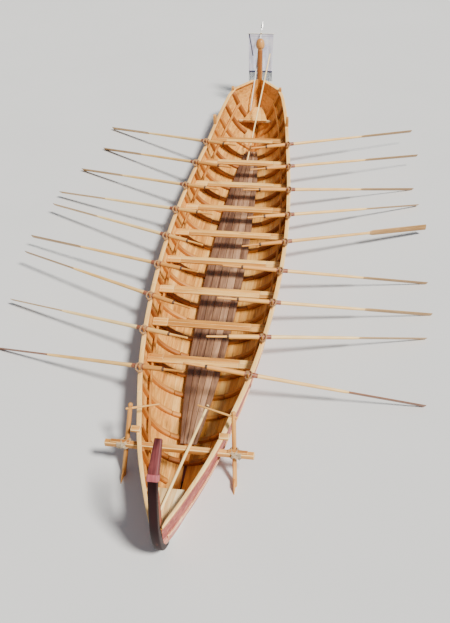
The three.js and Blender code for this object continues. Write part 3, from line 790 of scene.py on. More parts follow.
    @classmethod
    def rope(cls, name: str, path: Sequence[Vector], radius: float, closed: bool = True, sides: int = 8) -> Piece:
        """Rope of a round section along a path.

        Args:
            name: Its name.
            path: Points along its middle.
            radius: Its radius.
            closed: Whether its end joins its start.
            sides: Sides of its section.

        Returns:
            The rope.
        """
        points = [Vector(p) for p in path]
        last = len(points) - 1
        rings, across = [], None
        for i, point in enumerate(points):
            before = points[i - 1] if closed or i else point
            after = points[(i + 1) % len(points)] if closed or i < last else point
            along = (after - before).normalized()
            if across is None:
                helper = UP if abs(along.z) < 0.9 else Vector((1, 0, 0))
                across = along.cross(helper).normalized()
            across = (across - along * across.dot(along)).normalized()
            up = along.cross(across)
            rings.append([point + across * (radius * cos(t)) + up * (radius * sin(t)) for t in turns(sides)])
        piece = cls.tube(name, rings, closed)
        cls.smooth(piece, 80.0)
        return piece

    @classmethod
    def dress(cls, piece: Piece, finishes: str, edge: Edge | None = None, tone: float | None = None) -> Piece:
        """Paints a piece, and then rounds its edges and gives it a tone.

        Args:
            piece: Piece that is dressed.
            finishes: Finishes of its material slots, with spaces between them.
            edge: How its edges are rounded, where they are.
            tone: Its lightness among its like, where it has its own.

        Returns:
            The piece.
        """
        for name in finishes.split():
            piece.data.materials.append(finish(name))
        if edge:
            cls.modify(piece, "BEVEL", width=edge.width, segments=edge.segments, limit_method="ANGLE",
                       angle_limit=radians(edge.angle), material=edge.slot, harden_normals=False)
        return piece if tone is None else cls.tone(piece, tone)

    @classmethod
    def nails(cls, name: str, head: Pair, places: Sequence[Matrix], wood: str, slot: str) -> None:
        """Makes one nail or peg head, and mounts a copy of it at each place, all in one mesh.

        Args:
            name: Its name.
            head: Radius and height of a head.
            places: Where the heads are, their flat sides down.
            wood: Finish of the heads.
            slot: The record's material slot.
        """
        cls.pick()
        radius, height = head
        bpy.ops.mesh.primitive_cone_add(vertices=8, radius1=radius, radius2=radius * 0.55, depth=height)
        bpy.ops.transform.translate(value=(0, 0, height / 2))
        bpy.ops.object.transform_apply(location=True, rotation=True, scale=True)
        template = bpy.context.active_object
        source = template.data
        points = [m @ v.co for m in places for v in source.vertices]
        count = len(source.vertices)
        faces = [[i + k * count for i in p.vertices] for k in range(len(places)) for p in source.polygons]
        mesh = bpy.data.meshes.new(name)
        mesh.from_pydata(points, [], faces)
        bpy.data.objects.remove(template)
        for polygon in mesh.polygons:
            polygon.use_smooth = True
        cls.mount(cls.dress(link(bpy.data.objects.new(name, mesh)), wood), slot, smooth=None)

    @classmethod
    def join(cls, name: str, pieces: Sequence[Piece]) -> Piece:
        """Joins pieces into one object.

        Args:
            name: Its name.
            pieces: Two pieces or more.

        Returns:
            The one piece.
        """
        cls.pick(*pieces)
        bpy.ops.object.join()
        return cls.name(name)

    @classmethod
    def mount(cls, piece: Piece, slot: str, *nodes: str, body: str = "hull", smooth: float | None = 35.0) -> Piece:
        """Hands a finished piece to the boat.

        Args:
            piece: The piece.
            slot: The record's material slot; not used.
            *nodes: Nodes of the frame that it stands for.
            body: Body that it moves with.
            smooth: Least angle of an edge that stays sharp, or None where it is shaded already.

        Returns:
            The piece.
        """
        if smooth is not None:
            cls.smooth(piece, smooth)
        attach(piece, body)
        if nodes:
            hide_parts(*nodes)
        LOG.info("%s: %d faces, on %s", piece.name, len(piece.data.polygons), body)
        return piece


@dataclass(frozen=True)
class HullForm:
    """Lines of the hull: a run of stations along the sheer, and the round of the section at each."""

    keel: float = -0.35
    plank: float = 0.028
    keel_half: float = 0.03
    overhang: float = 0.015
    cap_wide: float = 0.085
    cap_narrow: float = 0.052
    cap_taper: Pair = (-5.0, -6.9)
    cap_deep: float = 0.045
    # clear of the cap and of the middle plane
    clear: float = 0.001
    rail_least: float = 0.076
    rake_share: float = 0.18
    rake_power: float = 3.5
    round_power: float = 0.8
    straight_from: float = 6.1
    # y, half-breadth outside the gunwale, top of the gunwale, fullness of the section
    stations: Rows = (
        (-7.24, 0.095, 0.878, 0.15), (-7.0, 0.2, 0.855, 0.55), (-6.5, 0.39, 0.808, 0.82), (-6.0, 0.565, 0.768, 0.9),
        (-5.5, 0.71, 0.735, 0.94), (-5.0, 0.825, 0.708, 0.94), (-4.0, 1.035, 0.668, 0.93), (-3.0, 1.18, 0.638, 0.92),
        (-2.0, 1.275, 0.614, 0.9), (-1.0, 1.33, 0.597, 0.92), (0.0, 1.345, 0.585, 0.92), (1.0, 1.325, 0.579, 0.92),
        (2.0, 1.27, 0.58, 0.9), (3.0, 1.19, 0.587, 0.86), (4.0, 1.09, 0.605, 0.78), (5.0, 0.98, 0.705, 0.6),
        (5.5, 0.9, 0.795, 0.48), (6.1, 0.775, 0.925, 0.32), (6.4, 0.65, 0.985, 0.22), (6.74, 0.355, 0.985, 0.1),
        (7.08, 0.06, 0.985, 0.0),
    )

    def slope(self, i: int, column: int) -> float:
        """How fast a column changes at a station.

        Args:
            i: Number of the station.
            column: Number of the column.

        Returns:
            The change for each metre.
        """
        a = self.stations[max(i - 1, 0)]
        ahead = i if self.stations[i][0] >= self.straight_from else min(i + 1, len(self.stations) - 1)
        b = self.stations[ahead]
        return (b[column] - a[column]) / (b[0] - a[0])

    def sheer(self, y: float) -> Point:
        """Half-breadth, top and fullness at a place along the sheer.

        Args:
            y: Place along the boat, in metres.

        Returns:
            Half-breadth outside the gunwale, height of its top, and fullness of the section.
        """
        rows = self.stations
        i = min(max(bisect_right([row[0] for row in rows], y) - 1, 0), len(rows) - 2)
        a, b = rows[i], rows[i + 1]
        span = b[0] - a[0]
        t = (y - a[0]) / span
        if a[0] >= self.straight_from or not 0.0 <= t <= 1.0:
            half, top, full = (a[k] + (b[k] - a[k]) * t for k in (1, 2, 3))
            return half, top, max(full, 0.0)
        values = []
        for k in (1, 2, 3):
            near, far = self.slope(i, k) * span, self.slope(i + 1, k) * span
            h = t * t * (3 - 2 * t)
            values.append(a[k] * (1 - h) + b[k] * h + near * t * (1 - t) ** 2 - far * t * t * (1 - t))
        return values[0], values[1], max(values[2], 0.0)

    def reach(self, level: float) -> float:
        """How much of the sheer's length a level of the planking reaches."""
        return 1 - self.rake_share * (1 - level) ** self.rake_power

    def point(self, y: float, level: float) -> Vector:
        """Point of the starboard outer face.

        Args:
            y: Place along the sheer.
            level: Level of the planking, from the keel (0) to the sheer (1).

        Returns:
            The point.
        """
        half, top, full = self.sheer(y)
        turn = level * pi / 2
        out = full * sin(turn) ** self.round_power + (1 - full) * level
        rise = full * (1 - cos(turn)) + (1 - full) * level
        edge = top - self.cap_deep - self.clear
        x = self.keel_half + (half - self.overhang - self.keel_half) * out
        return Vector((x, y * self.reach(level), self.keel + (edge - self.keel) * rise))

    def outward(self, y: float, level: float, side: Side = Side.STARBOARD) -> Vector:
        """Direction square to the outer face.

        Args:
            y: Place along the sheer.
            level: Level of the planking.
            side: Side of the boat.

        Returns:
            The direction.
        """
        along = self.point(y + 0.02, level) - self.point(y - 0.02, level)
        upward = self.point(y, min(level + 0.01, 1.0)) - self.point(y, max(level - 0.01, 0.0))
        outward = along.cross(upward).normalized()
        if outward.x <= 0:
            outward = -outward
        outward.x *= side.value
        return outward

    def skin(self, side: Side, y: float, level: float, depth: float) -> Vector:
        """Point of the hull face moved inboard.

        Args:
            side: Side of the boat.
            y: Place along the sheer.
            level: Level of the planking.
            depth: How far inboard of the outer face.

        Returns:
            The point.
        """
        p = self.point(y, level) - self.outward(y, level) * depth
        ceiling = self.sheer(y)[1] - self.cap_deep - self.clear
        return Vector((side.value * max(p.x, self.clear), p.y, min(p.z, ceiling)))

    def belt(self, side: Side, places: Sequence[float], levels: Pair, depths: Pair) -> list[list[Vector]]:
        """Rings of a squared timber that runs along the skin.

        Args:
            side: Side of the boat.
            places: Places along the sheer.
            levels: Levels of its lower and upper faces.
            depths: Depths of its faces against the skin and away from it.

        Returns:
            One ring of four points for each place.
        """
        (low, high), (near, far) = levels, depths
        corners = ((low, near), (low, far), (high, far), (high, near))
        return [[self.skin(side, y, level, depth) for level, depth in corners] for y in places]

    def cross(self, side: Side, y: float, level: float, depth: float) -> Vector:
        """Point of the hull face moved inboard, for a piece that stands square across the boat.

        Args:
            side: Side of the boat.
            y: Place along the boat.
            level: Level of the planking.
            depth: How far inboard of the outer face.

        Returns:
            The point.
        """
        place = y / self.reach(level)
        p = self.point(place, level)
        normal = self.outward(place, level)
        shift = depth / (normal.x**2 + normal.z**2)
        ceiling = self.sheer(place)[1] - self.cap_deep - 2 * self.clear
        x = max(p.x - normal.x * shift, self.clear)
        return Vector((side.value * x, y, min(p.z - normal.z * shift, ceiling)))

    def breadth(self, y: float, z: float, depth: float) -> float:
        """Half-breadth at a height, inboard of the outer face by a depth.

        Args:
            y: Place along the boat.
            z: Height.
            depth: How far inboard of the outer face.

        Returns:
            The half-breadth there.
        """
        level = level_at(lambda at: self.cross(Side.STARBOARD, y, at, depth).z, z)
        return self.cross(Side.STARBOARD, y, level, depth).x

    def cap(self, y: float) -> float:
        """Width of the gunwale's cap, which narrows towards the stern."""
        share = (self.cap_taper[0] - y) / (self.cap_taper[0] - self.cap_taper[1])
        return self.cap_wide + (self.cap_narrow - self.cap_wide) * min(max(share, 0.0), 1.0)

    def rail(self, side: Side, y: float, inboard: float) -> Vector:
        """Point on top of the gunwale.

        Args:
            side: Side of the boat.
            y: Place along the boat.
            inboard: How far inboard of the outer edge, square to it.

        Returns:
            The point.
        """
        half, top, _ = self.sheer(y)
        turn = atan((self.sheer(y + 0.03)[0] - self.sheer(y - 0.03)[0]) / 0.06)
        x = max(half - inboard * cos(turn), self.rail_least)
        return Vector((side.value * x, y + inboard * sin(turn), top))

    def over(self, side: Side, y: float, inset: float) -> Vector:
        """Point on top of the gunwale, straight inboard of its outer edge by an inset."""
        half, top, _ = self.sheer(y)
        return Vector((side.value * (half - inset), y, top))


HULL = HullForm()
CHANCE = random.Random(18)


@dataclass
class Planking:
    """Strakes of both sides, with their seams, and the wales outside them."""

    # node, levels of the strakes' edges, finish outside, record's slot
    runs: tuple[tuple[str, tuple[float, ...], str, str], ...] = (
        ("bottom_planking", (0.0, 0.14, 0.28, 0.4, 0.5), "pale_bottom", "bottom_paint"),
        ("side_planking", (0.5, 0.6, 0.7, 0.77), "red_side", "red_paint"),
        ("sheer_strake", (0.77, 0.88, 1.0), "red_sheer", "red_paint"),
    )
    pitch: float = 0.14
    seam: float = 0.0006
    seam_edge: Edge = Edge(0.0035, 1, 50.0)
    # a face is outside where its normal leans out this far
    outside_from: float = 0.2
    wale_levels: Pair = (0.7, 0.77)
    wale_depths: Pair = (-0.001, -0.026)
    wale_ends: Pair = (-7.14, 6.99)
    # the wale's rounded edges take the pale edge finish: a painted highlight where its top edge catches the sun
    wale_edge: Edge = Edge(0.007, 3, 50.0, 1)
    nail_run: Point = (-6.5, 6.0, 0.5)
    nail_levels: Pair = (0.715, 0.755)
    nail_head: Pair = (0.008, 0.003)

    def strake(self, side: Side, low: float, high: float, outside: str) -> Piece:
        """One strake from end to end.

        Args:
            side: Side of the boat.
            low: Level of its lower edge.
            high: Level of its upper edge.
            outside: Finish of its outer face.

        Returns:
            The strake: slot 0 outside, slot 1 inside.
        """
        levels = [low + self.seam + (high - low - 2 * self.seam) * k / 3 for k in range(4)]
        places = shares(HULL.stations[0][0], HULL.straight_from, self.pitch)
        places += [y for y, *_ in HULL.stations if y > HULL.straight_from]
        rings = []
        for y in places:
            outer = [HULL.skin(side, y, level, 0.0) for level in levels]
            inner = [HULL.skin(side, y, level, HULL.plank) for level in reversed(levels)]
            rings.append(outer + inner)
        piece = Bench.dress(Bench.tube("strake", rings), f"{outside} inner_pine", self.seam_edge)
        for polygon in piece.data.polygons:
            outward = HULL.outward(polygon.center.y, (low + high) / 2, side)
            polygon.material_index = 0 if polygon.normal.dot(outward) > self.outside_from else 1
        return Bench.tone(piece, CHANCE.uniform(-0.8, 0.8))

    def build(self) -> None:
        """Builds and dresses both sides."""
        for side in Side:
            for node, levels, outside, slot in self.runs:
                strakes = [self.strake(side, a, b, outside) for a, b in zip(levels, levels[1:])]
                name = f"{node}_{side.label}"
                Bench.mount(Bench.join("planks_" + name, strakes), slot, name)
            rings = HULL.belt(side, shares(*self.wale_ends, self.pitch), self.wale_levels, self.wale_depths)
            wale = Bench.tube("rubbing_strake_" + side.label, rings)
            Bench.mount(Bench.dress(wale, "red_wale worn_edge", self.wale_edge, 0.2), "pine", "wale_" + side.label)
            places = [
                facing(HULL.skin(side, y, level, self.wale_depths[1]), HULL.outward(y, level, side))
                for y in shares(*self.nail_run)
                for level in self.nail_levels
            ]
            Bench.nails("wale_nails_" + side.label, self.nail_head, places, "iron", "frame_wood")


@dataclass
class Frames:
    """Side frames with the riser on them, floor timbers and the keelson."""

    wide: float = 0.09
    deep: float = 0.075
    head_deep: float = 0.058
    bed: float = 0.018
    joint: float = 0.28
    joint_gap: float = 0.004
    # inner face: how much lower its middle is, and where along half its width that starts
    crown: float = 0.006
    crown_from: float = 0.35
    edge: Edge = Edge(0.018, 3, 40.0)
    smooth: float = 50.0
    # first, last and pitch of the side frames and of the floor timbers
    side_run: Point = (-6.25, 6.25, 0.5)
    floor_run: Point = (-5.25, 5.25, 0.5)
    floor_deep: float = 0.072
    floor_levels: tuple[float, ...] = (0.24, 0.19, 0.14, 0.07, 0.0)
    riser_levels: Pair = (0.725, 0.775)
    riser_deep: float = 0.022
    riser_bed: float = 0.004
    riser_past: float = 0.06
    riser_edge: Edge = Edge(0.006, 2, 50.0)
    keelson_half: float = 0.065
    keelson_deep: float = 0.085
    keelson_bed: float = 0.012
    keelson_ends: Pair = (-5.3, 5.3)

    def timber(self, name: str, y: float, spots: Sequence[tuple[Side, float, float, float]]) -> Piece:
        """Timber across the boat.

        Args:
            name: Its name.
            y: Its middle.
            spots: Side, level, depth of its inner face, and rise of that face, from end to end.

        Returns:
            The timber, its inner edges rounded.
        """
        half, middle = self.wide / 2, self.crown_from
        rings = []
        for side, level, depth, rise in spots:
            ring = [HULL.cross(side, y + share * half, level, self.bed) for share in (-1, 1)]
            for share, crown in ((1, 0.0), (middle, self.crown), (-middle, self.crown), (-1, 0.0)):
                ring.append(HULL.cross(side, y + share * half, level, depth + crown) + UP * rise)
            rings.append(ring)
        return Bench.dress(Bench.tube(name, rings), "rib_oak", self.edge, CHANCE.uniform(-1.2, 1.0))

    def build(self) -> None:
        """Builds and dresses the frames, the risers and the keelson."""
        first, last, pitch = self.side_run
        face = HULL.plank + self.deep
        depths = (face - self.riser_bed, face + self.riser_deep)
        thick = self.riser_levels[1]
        arm = []
        for level in shares(self.joint + self.joint_gap, 1.0, 0.065):
            thinned = max((level - thick) / (1 - thick), 0.0)
            arm.append((level, face + (self.head_deep - self.deep) * thinned, 0.0))
        for side in Side:
            spots = [(side, *row) for row in arm]
            ribs = [self.timber("side_frame", y, spots) for y in shares(first, last, pitch)]
            places = shares(first - self.riser_past, last + self.riser_past, 0.2)
            riser = Bench.tube("riser", HULL.belt(side, places, self.riser_levels, depths))
            ribs.append(Bench.dress(riser, "rib_oak", self.riser_edge, 0.4))
            node = "side_frames_" + side.label
            Bench.mount(Bench.join("ribs_" + side.label, ribs), "frame_wood", node, smooth=self.smooth)
        arm = [(self.joint, face, 0.0), *((level, HULL.plank, self.floor_deep) for level in self.floor_levels)]
        spots = [(Side.PORT, *row) for row in arm] + [(Side.STARBOARD, *row) for row in reversed(arm)]
        floors = [self.timber("floor_timber", y, spots) for y in shares(*self.floor_run)]
        base = HULL.keel + HULL.plank + self.floor_deep
        (aft, fore), half = self.keelson_ends, self.keelson_half
        keelson = Bench.block("keelson", (-half, aft, base - self.keelson_bed), (half, fore, base + self.keelson_deep))
        Bench.grain(Bench.dress(keelson, "rib_oak", Edge(0.008), -0.3), "yxz")
        piece = Bench.join("floors_and_keelson", [*floors, keelson])
        Bench.mount(piece, "frame_wood", "floor_timbers", smooth=self.smooth)


@dataclass
class Gunwales:
    """Caps along the sheer with the pads, tholes and proud frame heads."""

    # where the lengths of the cap meet
    joints: tuple[float, ...] = (-7.24, -4.55, -1.55, 1.5, 4.45, 6.93)
    joint_gap: float = 0.0008
    pitch: float = 0.13
    least_half: float = 0.09
    crown: float = 0.003
    cap_edge: Edge = Edge(0.008, 3, 45.0, 1)
    pad_long: float = 0.3
    pad_half: float = 0.029
    pad_low: float = -0.004
    # share of the pad's length, height of its top
    pad_rows: Pairs = ((0.0, 0.006), (0.12, 0.026), (0.5, 0.026), (0.88, 0.026), (1.0, 0.006))
    pad_edge: Edge = Edge(0.005, 2, 40.0, 1)
    thole: float = 0.015
    # height, share of the thole's radius
    thole_rows: Pairs = (
        (-0.01, 1.0), (0.03, 1.0), (0.055, 0.88), (0.12, 0.9), (0.15, 1.05), (0.17, 1.0), (0.182, 0.72), (0.185, 0.3),
    )
    inset: float = 0.055
    offset: float = 0.066
    # y, height over the gunwale
    heads: Pairs = ((4.92, 0.26), (6.32, 0.105))
    head_half: float = 0.045
    head_thick: float = 0.038
    head_inset: float = 0.03
    head_foot: float = -0.02
    # share of the head's half-width, how far below its top
    head_round: Pairs = (
        (1.0, 0.06), (0.86, 0.03), (0.5, 0.008), (0.0, 0.0), (-0.5, 0.008), (-0.86, 0.03), (-1.0, 0.06),
    )
    head_edge: Edge = Edge(0.008, 2, 50.0, 1)
    peg_run: Point = (-6.75, 6.25, 0.25)
    peg_shares: Pair = (0.7, 0.3)
    peg_head: Pair = (0.009, 0.0025)

    def length(self, side: Side, start: float, stop: float) -> Piece:
        """One length of the cap, a little crowned.

        Args:
            side: Side of the boat.
            start: Where it starts.
            stop: Where it ends.

        Returns:
            The length: slot 0 its top, slot 1 its worn edges, slot 2 its sides, darker as painted shade.
        """
        rings = []
        down = UP * -HULL.cap_deep
        for y in shares(start + self.joint_gap, stop - self.joint_gap, self.pitch):
            outer, inner = HULL.rail(side, y, 0.0), HULL.rail(side, y, HULL.cap(y))
            outer.x = side.value * max(abs(outer.x), self.least_half)
            middle = outer.lerp(inner, 0.5) + UP * self.crown
            rings.append([outer + down, outer, middle, inner, inner + down])
        piece = Bench.dress(Bench.tube("cap", rings), "cap_pine worn_edge cap_side")
        for polygon in piece.data.polygons:
            # upright faces take the darker side finish: painted shade, since they get less sun than the top
            polygon.material_index = 0 if abs(polygon.normal.z) > 0.5 else 2
        return Bench.dress(piece, "", self.cap_edge, CHANCE.uniform(-0.7, 0.7))

    def head(self, side: Side, y: float, tall: float) -> Piece:
        """Round-topped head of a frame, standing through the cap.

        Args:
            side: Side of the boat.
            y: Its middle.
            tall: Its height over the gunwale.

        Returns:
            The head.
        """
        half, top, _ = HULL.sheer(y)
        outline = [(-1.0, self.head_foot), (1.0, self.head_foot)] + [(u, tall - down) for u, down in self.head_round]
        rings = []
        for across in (-self.head_thick, 0.0, self.head_thick):
            x = side.value * (half - self.head_inset + across)
            rings.append([Vector((x, y + u * self.head_half, top + v)) for u, v in outline])
        piece = Bench.dress(Bench.tube("frame_head", rings), "stock_pine worn_edge", self.head_edge, -0.4)
        Bench.grain(piece, "zyx")
        return piece

    def build(self, rows: Sequence["OarRow"]) -> None:
        """Builds and dresses both gunwales.

        Args:
            rows: The places of the oars.
        """
        for side in Side:
            node = "gunwale_" + side.label
            caps = [self.length(side, a, b) for a, b in zip(self.joints, self.joints[1:])]
            for row in rows:
                rings = []
                for share, high in self.pad_rows:
                    middle = HULL.over(side, row.y + (share - 0.5) * self.pad_long, self.inset)
                    corners = ((1, self.pad_low), (1, high), (-1, high), (-1, self.pad_low))
                    rings.append([middle + Vector((x * self.pad_half, 0, z)) for x, z in corners])
                pad = Bench.tube("pad", rings)
                caps.append(Bench.dress(pad, "cap_pine worn_edge", self.pad_edge, CHANCE.uniform(-1.5, -0.6)))
            Bench.mount(Bench.join("gunwale_cap_" + side.label, caps), "gunwale_wood", node)
            pins = []
            for row in rows:
                turn = radians(row.pose(side)[0])
                foot = HULL.over(side, row.y, self.inset)
                foot.y -= self.inset * tan(turn) + self.offset / cos(turn)
                pin = Bench.lathe("thole", [(height, self.thole * share) for height, share in self.thole_rows], 12)
                pin = Bench.aim(pin, foot, foot + UP)
                pins.append(Bench.dress(pin, "stock_pine", None, CHANCE.uniform(-1.2, -0.2)))
            pins += [self.head(side, y, tall) for y, tall in self.heads]
            Bench.mount(Bench.join("tholes_" + side.label, pins), "gunwale_wood", node)
            places = []
            for i, y in enumerate(shares(*self.peg_run)):
                at = HULL.rail(side, y, HULL.cap(y) * self.peg_shares[i % 2])
                places.append(Matrix.Translation(at + UP * 0.0005))
            Bench.nails("cap_pegs_" + side.label, self.peg_head, places, "loom_ash", "gunwale_wood")


@dataclass
class Backbone:
    """Keel and the two posts, with the bow's knob and the stern's ring and head."""

    keel_half: float = 0.05
    keel_deep: float = 0.075
    keel_gap: float = 0.0006
    keel_ends: Pair = (-5.6, 5.45)
    post_edge: Edge = Edge(0.008, 2, 30.0)
    head_edge: Edge = Edge(0.014, 3, 30.0)
    smooth: float = 50.0
    # y, z, width across the boat, depth fore and aft
    bow: Rows = (
        (5.4503, -0.385, 0.1, 0.08), (5.8, -0.385, 0.1, 0.09), (6.21, -0.27, 0.11, 0.12), (6.54, -0.12, 0.125, 0.14),
        (6.8, 0.06, 0.135, 0.15), (7.02, 0.31, 0.14, 0.15), (7.1, 0.6, 0.145, 0.15), (7.12, 0.9, 0.145, 0.15),
        (7.145, 1.15, 0.145, 0.148), (7.2, 1.4, 0.145, 0.145), (7.29, 1.69, 0.14, 0.135),
    )
    stern: Rows = (
        (-5.6003, -0.385, 0.1, 0.08), (-5.96, -0.385, 0.1, 0.09), (-6.37, -0.27, 0.105, 0.115),
        (-6.71, -0.12, 0.115, 0.13), (-6.98, 0.06, 0.125, 0.14), (-7.195, 0.3, 0.132, 0.145),
        (-7.28, 0.56, 0.135, 0.15), (-7.3, 0.87, 0.135, 0.15), (-7.25, 1.15, 0.135, 0.14), (-7.18, 1.4, 0.135, 0.132),
        (-7.11, 1.6, 0.138, 0.13), (-7.03, 1.74, 0.145, 0.13), (-6.985, 1.788, 0.148, 0.13),
    )
    stern_knee: Rows = (
        (-7.19, 0.893, 0.124, 0.18), (-7.15, 1.15, 0.124, 0.2), (-7.11, 1.4, 0.124, 0.17), (-7.085, 1.6, 0.126, 0.12),
        (-7.062, 1.7, 0.128, 0.06),
    )
    stern_head: Rows = (
        (-7.03, 1.752, 0.155, 0.13), (-6.96, 1.812, 0.158, 0.13), (-6.84, 1.868, 0.15, 0.125),
        (-6.7, 1.932, 0.134, 0.118), (-6.5, 2.026, 0.112, 0.1),
    )
    ring: Rows = (
        (-7.032, 1.748, 0.172, 0.162), (-6.958, 1.818, 0.172, 0.162),
    )
    knob_from: Point = (0.0, 7.286, 1.683)
    knob_to: Point = (0.0, 7.408, 1.98)
    knob_radius: float = 0.126
    # distance along the knob, share of its radius
    knob_rows: Pairs = (
        (-0.008, 0.42), (-0.004, 0.5), (0.012, 0.53), (0.03, 0.56), (0.042, 0.66), (0.055, 0.77), (0.072, 0.86),
        (0.095, 0.93), (0.12, 0.96), (0.15, 0.965), (0.18, 0.95), (0.21, 0.91), (0.235, 0.86), (0.257, 0.78),
        (0.277, 0.67), (0.293, 0.54), (0.307, 0.36), (0.3165, 0.14),
    )

    def bar(self, name: str, rows: Sequence[Row], steps: int = 4, chamfer: float = 0.22) -> Piece:
        """Squared timber along a curve in the boat's middle plane, with chamfered edges.

        Args:
            name: Its name.
            rows: y, z, width across the boat and depth at points of the curve.
            steps: How finely the curve is cut.
            chamfer: Width of the chamfers, as a share of half the timber's width.

        Returns:
            The timber.
        """
        fine = fair(rows, steps)
        rings = []
        for i, (y, z, width, depth) in enumerate(fine):
            a, b = fine[max(i - 1, 0)], fine[min(i + 1, len(fine) - 1)]
            along = Vector((0, b[0] - a[0], b[1] - a[1])).normalized()
            up = Vector((0, -along.z, along.y))
            w, d, c = width / 2, depth / 2, chamfer * width / 2
            corners = [(w, d - c), (w - c, d), (-w + c, d), (-w, d - c)]
            corners += [(-w, c - d), (c - w, -d), (w - c, -d), (w, c - d)]
            rings.append([Vector((p, y, z)) + up * q for p, q in corners])
        return Bench.tube(name, rings)

    def build(self) -> None:
        """Builds and dresses the keel and the posts."""
        top = HULL.keel - self.keel_gap
        (first, last), half = self.keel_ends, self.keel_half
        keel = Bench.block("keel_plank", (-half, first, top - self.keel_deep), (half, last, top))
        Bench.mount(Bench.dress(keel, "keel_oak", Edge(0.01)), "dark_red_paint", "keel")
        bow = Bench.dress(self.bar("bow_stem", self.bow, chamfer=0.5), "post_oak", self.post_edge)
        Bench.mount(bow, "post_wood", "bow_post", smooth=self.smooth)
        knob = Bench.lathe("bow_knob", [(along, share * self.knob_radius) for along, share in self.knob_rows], 32)
        Bench.dress(Bench.aim(knob, self.knob_from, self.knob_to), "knob_oak")
        Bench.mount(knob, "post_wood", "bow_post", smooth=self.smooth)
        # the stern post's body is near black: its dark red paint with painted shade
        members = (
            ("stern_post_bar", self.stern, 4, self.post_edge, "dark_post"),
            ("stern_knee_bar", self.stern_knee, 4, self.post_edge, "knee_red"),
            ("stern_ring", self.ring, 1, self.head_edge, "ring_red"),
            ("stern_head_bar", self.stern_head, 4, self.head_edge, "head_red"),
        )
        for name, rows, steps, edge, paint in members:
            piece = Bench.dress(self.bar(name, rows, steps), paint, edge)
            Bench.mount(piece, "dark_red_paint", "stern_post", smooth=self.smooth)


@dataclass(frozen=True)
class Platform:
    """Planks along the boat, side by side, which narrow with it."""

    wood: str
    # y, half-width
    rows: Pairs
    low: float
    deep: float
    count: int
    gap: float
    edge: Edge = Edge(0.004, 2, 40.0, 1)
    # where the beam under it starts and ends, and how deep the beam is
    beam: Pair = (0.0, 0.0)
    beam_deep: float = 0.06

    def planks(self, name: str) -> Piece:
        """The planks, with worn edges in slot 1.

        Args:
            name: Its name.

        Returns:
            The planks.
        """
        pieces = []
        for k in range(self.count):
            high = self.low + self.deep - CHANCE.uniform(0.0, 0.002)
            rings = []
            for y, half in fair(self.rows, 3):
                wide = 2 * half / self.count
                a = -half + k * wide + self.gap / 2
                b = a + wide - self.gap
                rings.append([Vector((x, y, z)) for x, z in ((a, self.low), (b, self.low), (b, high), (a, high))])
            plank = Bench.dress(Bench.tube("plank", rings), self.wood + " worn_edge", self.edge)
            pieces.append(Bench.tone(plank, CHANCE.uniform(-1.5, 1.5)))
        return Bench.join(name, pieces)


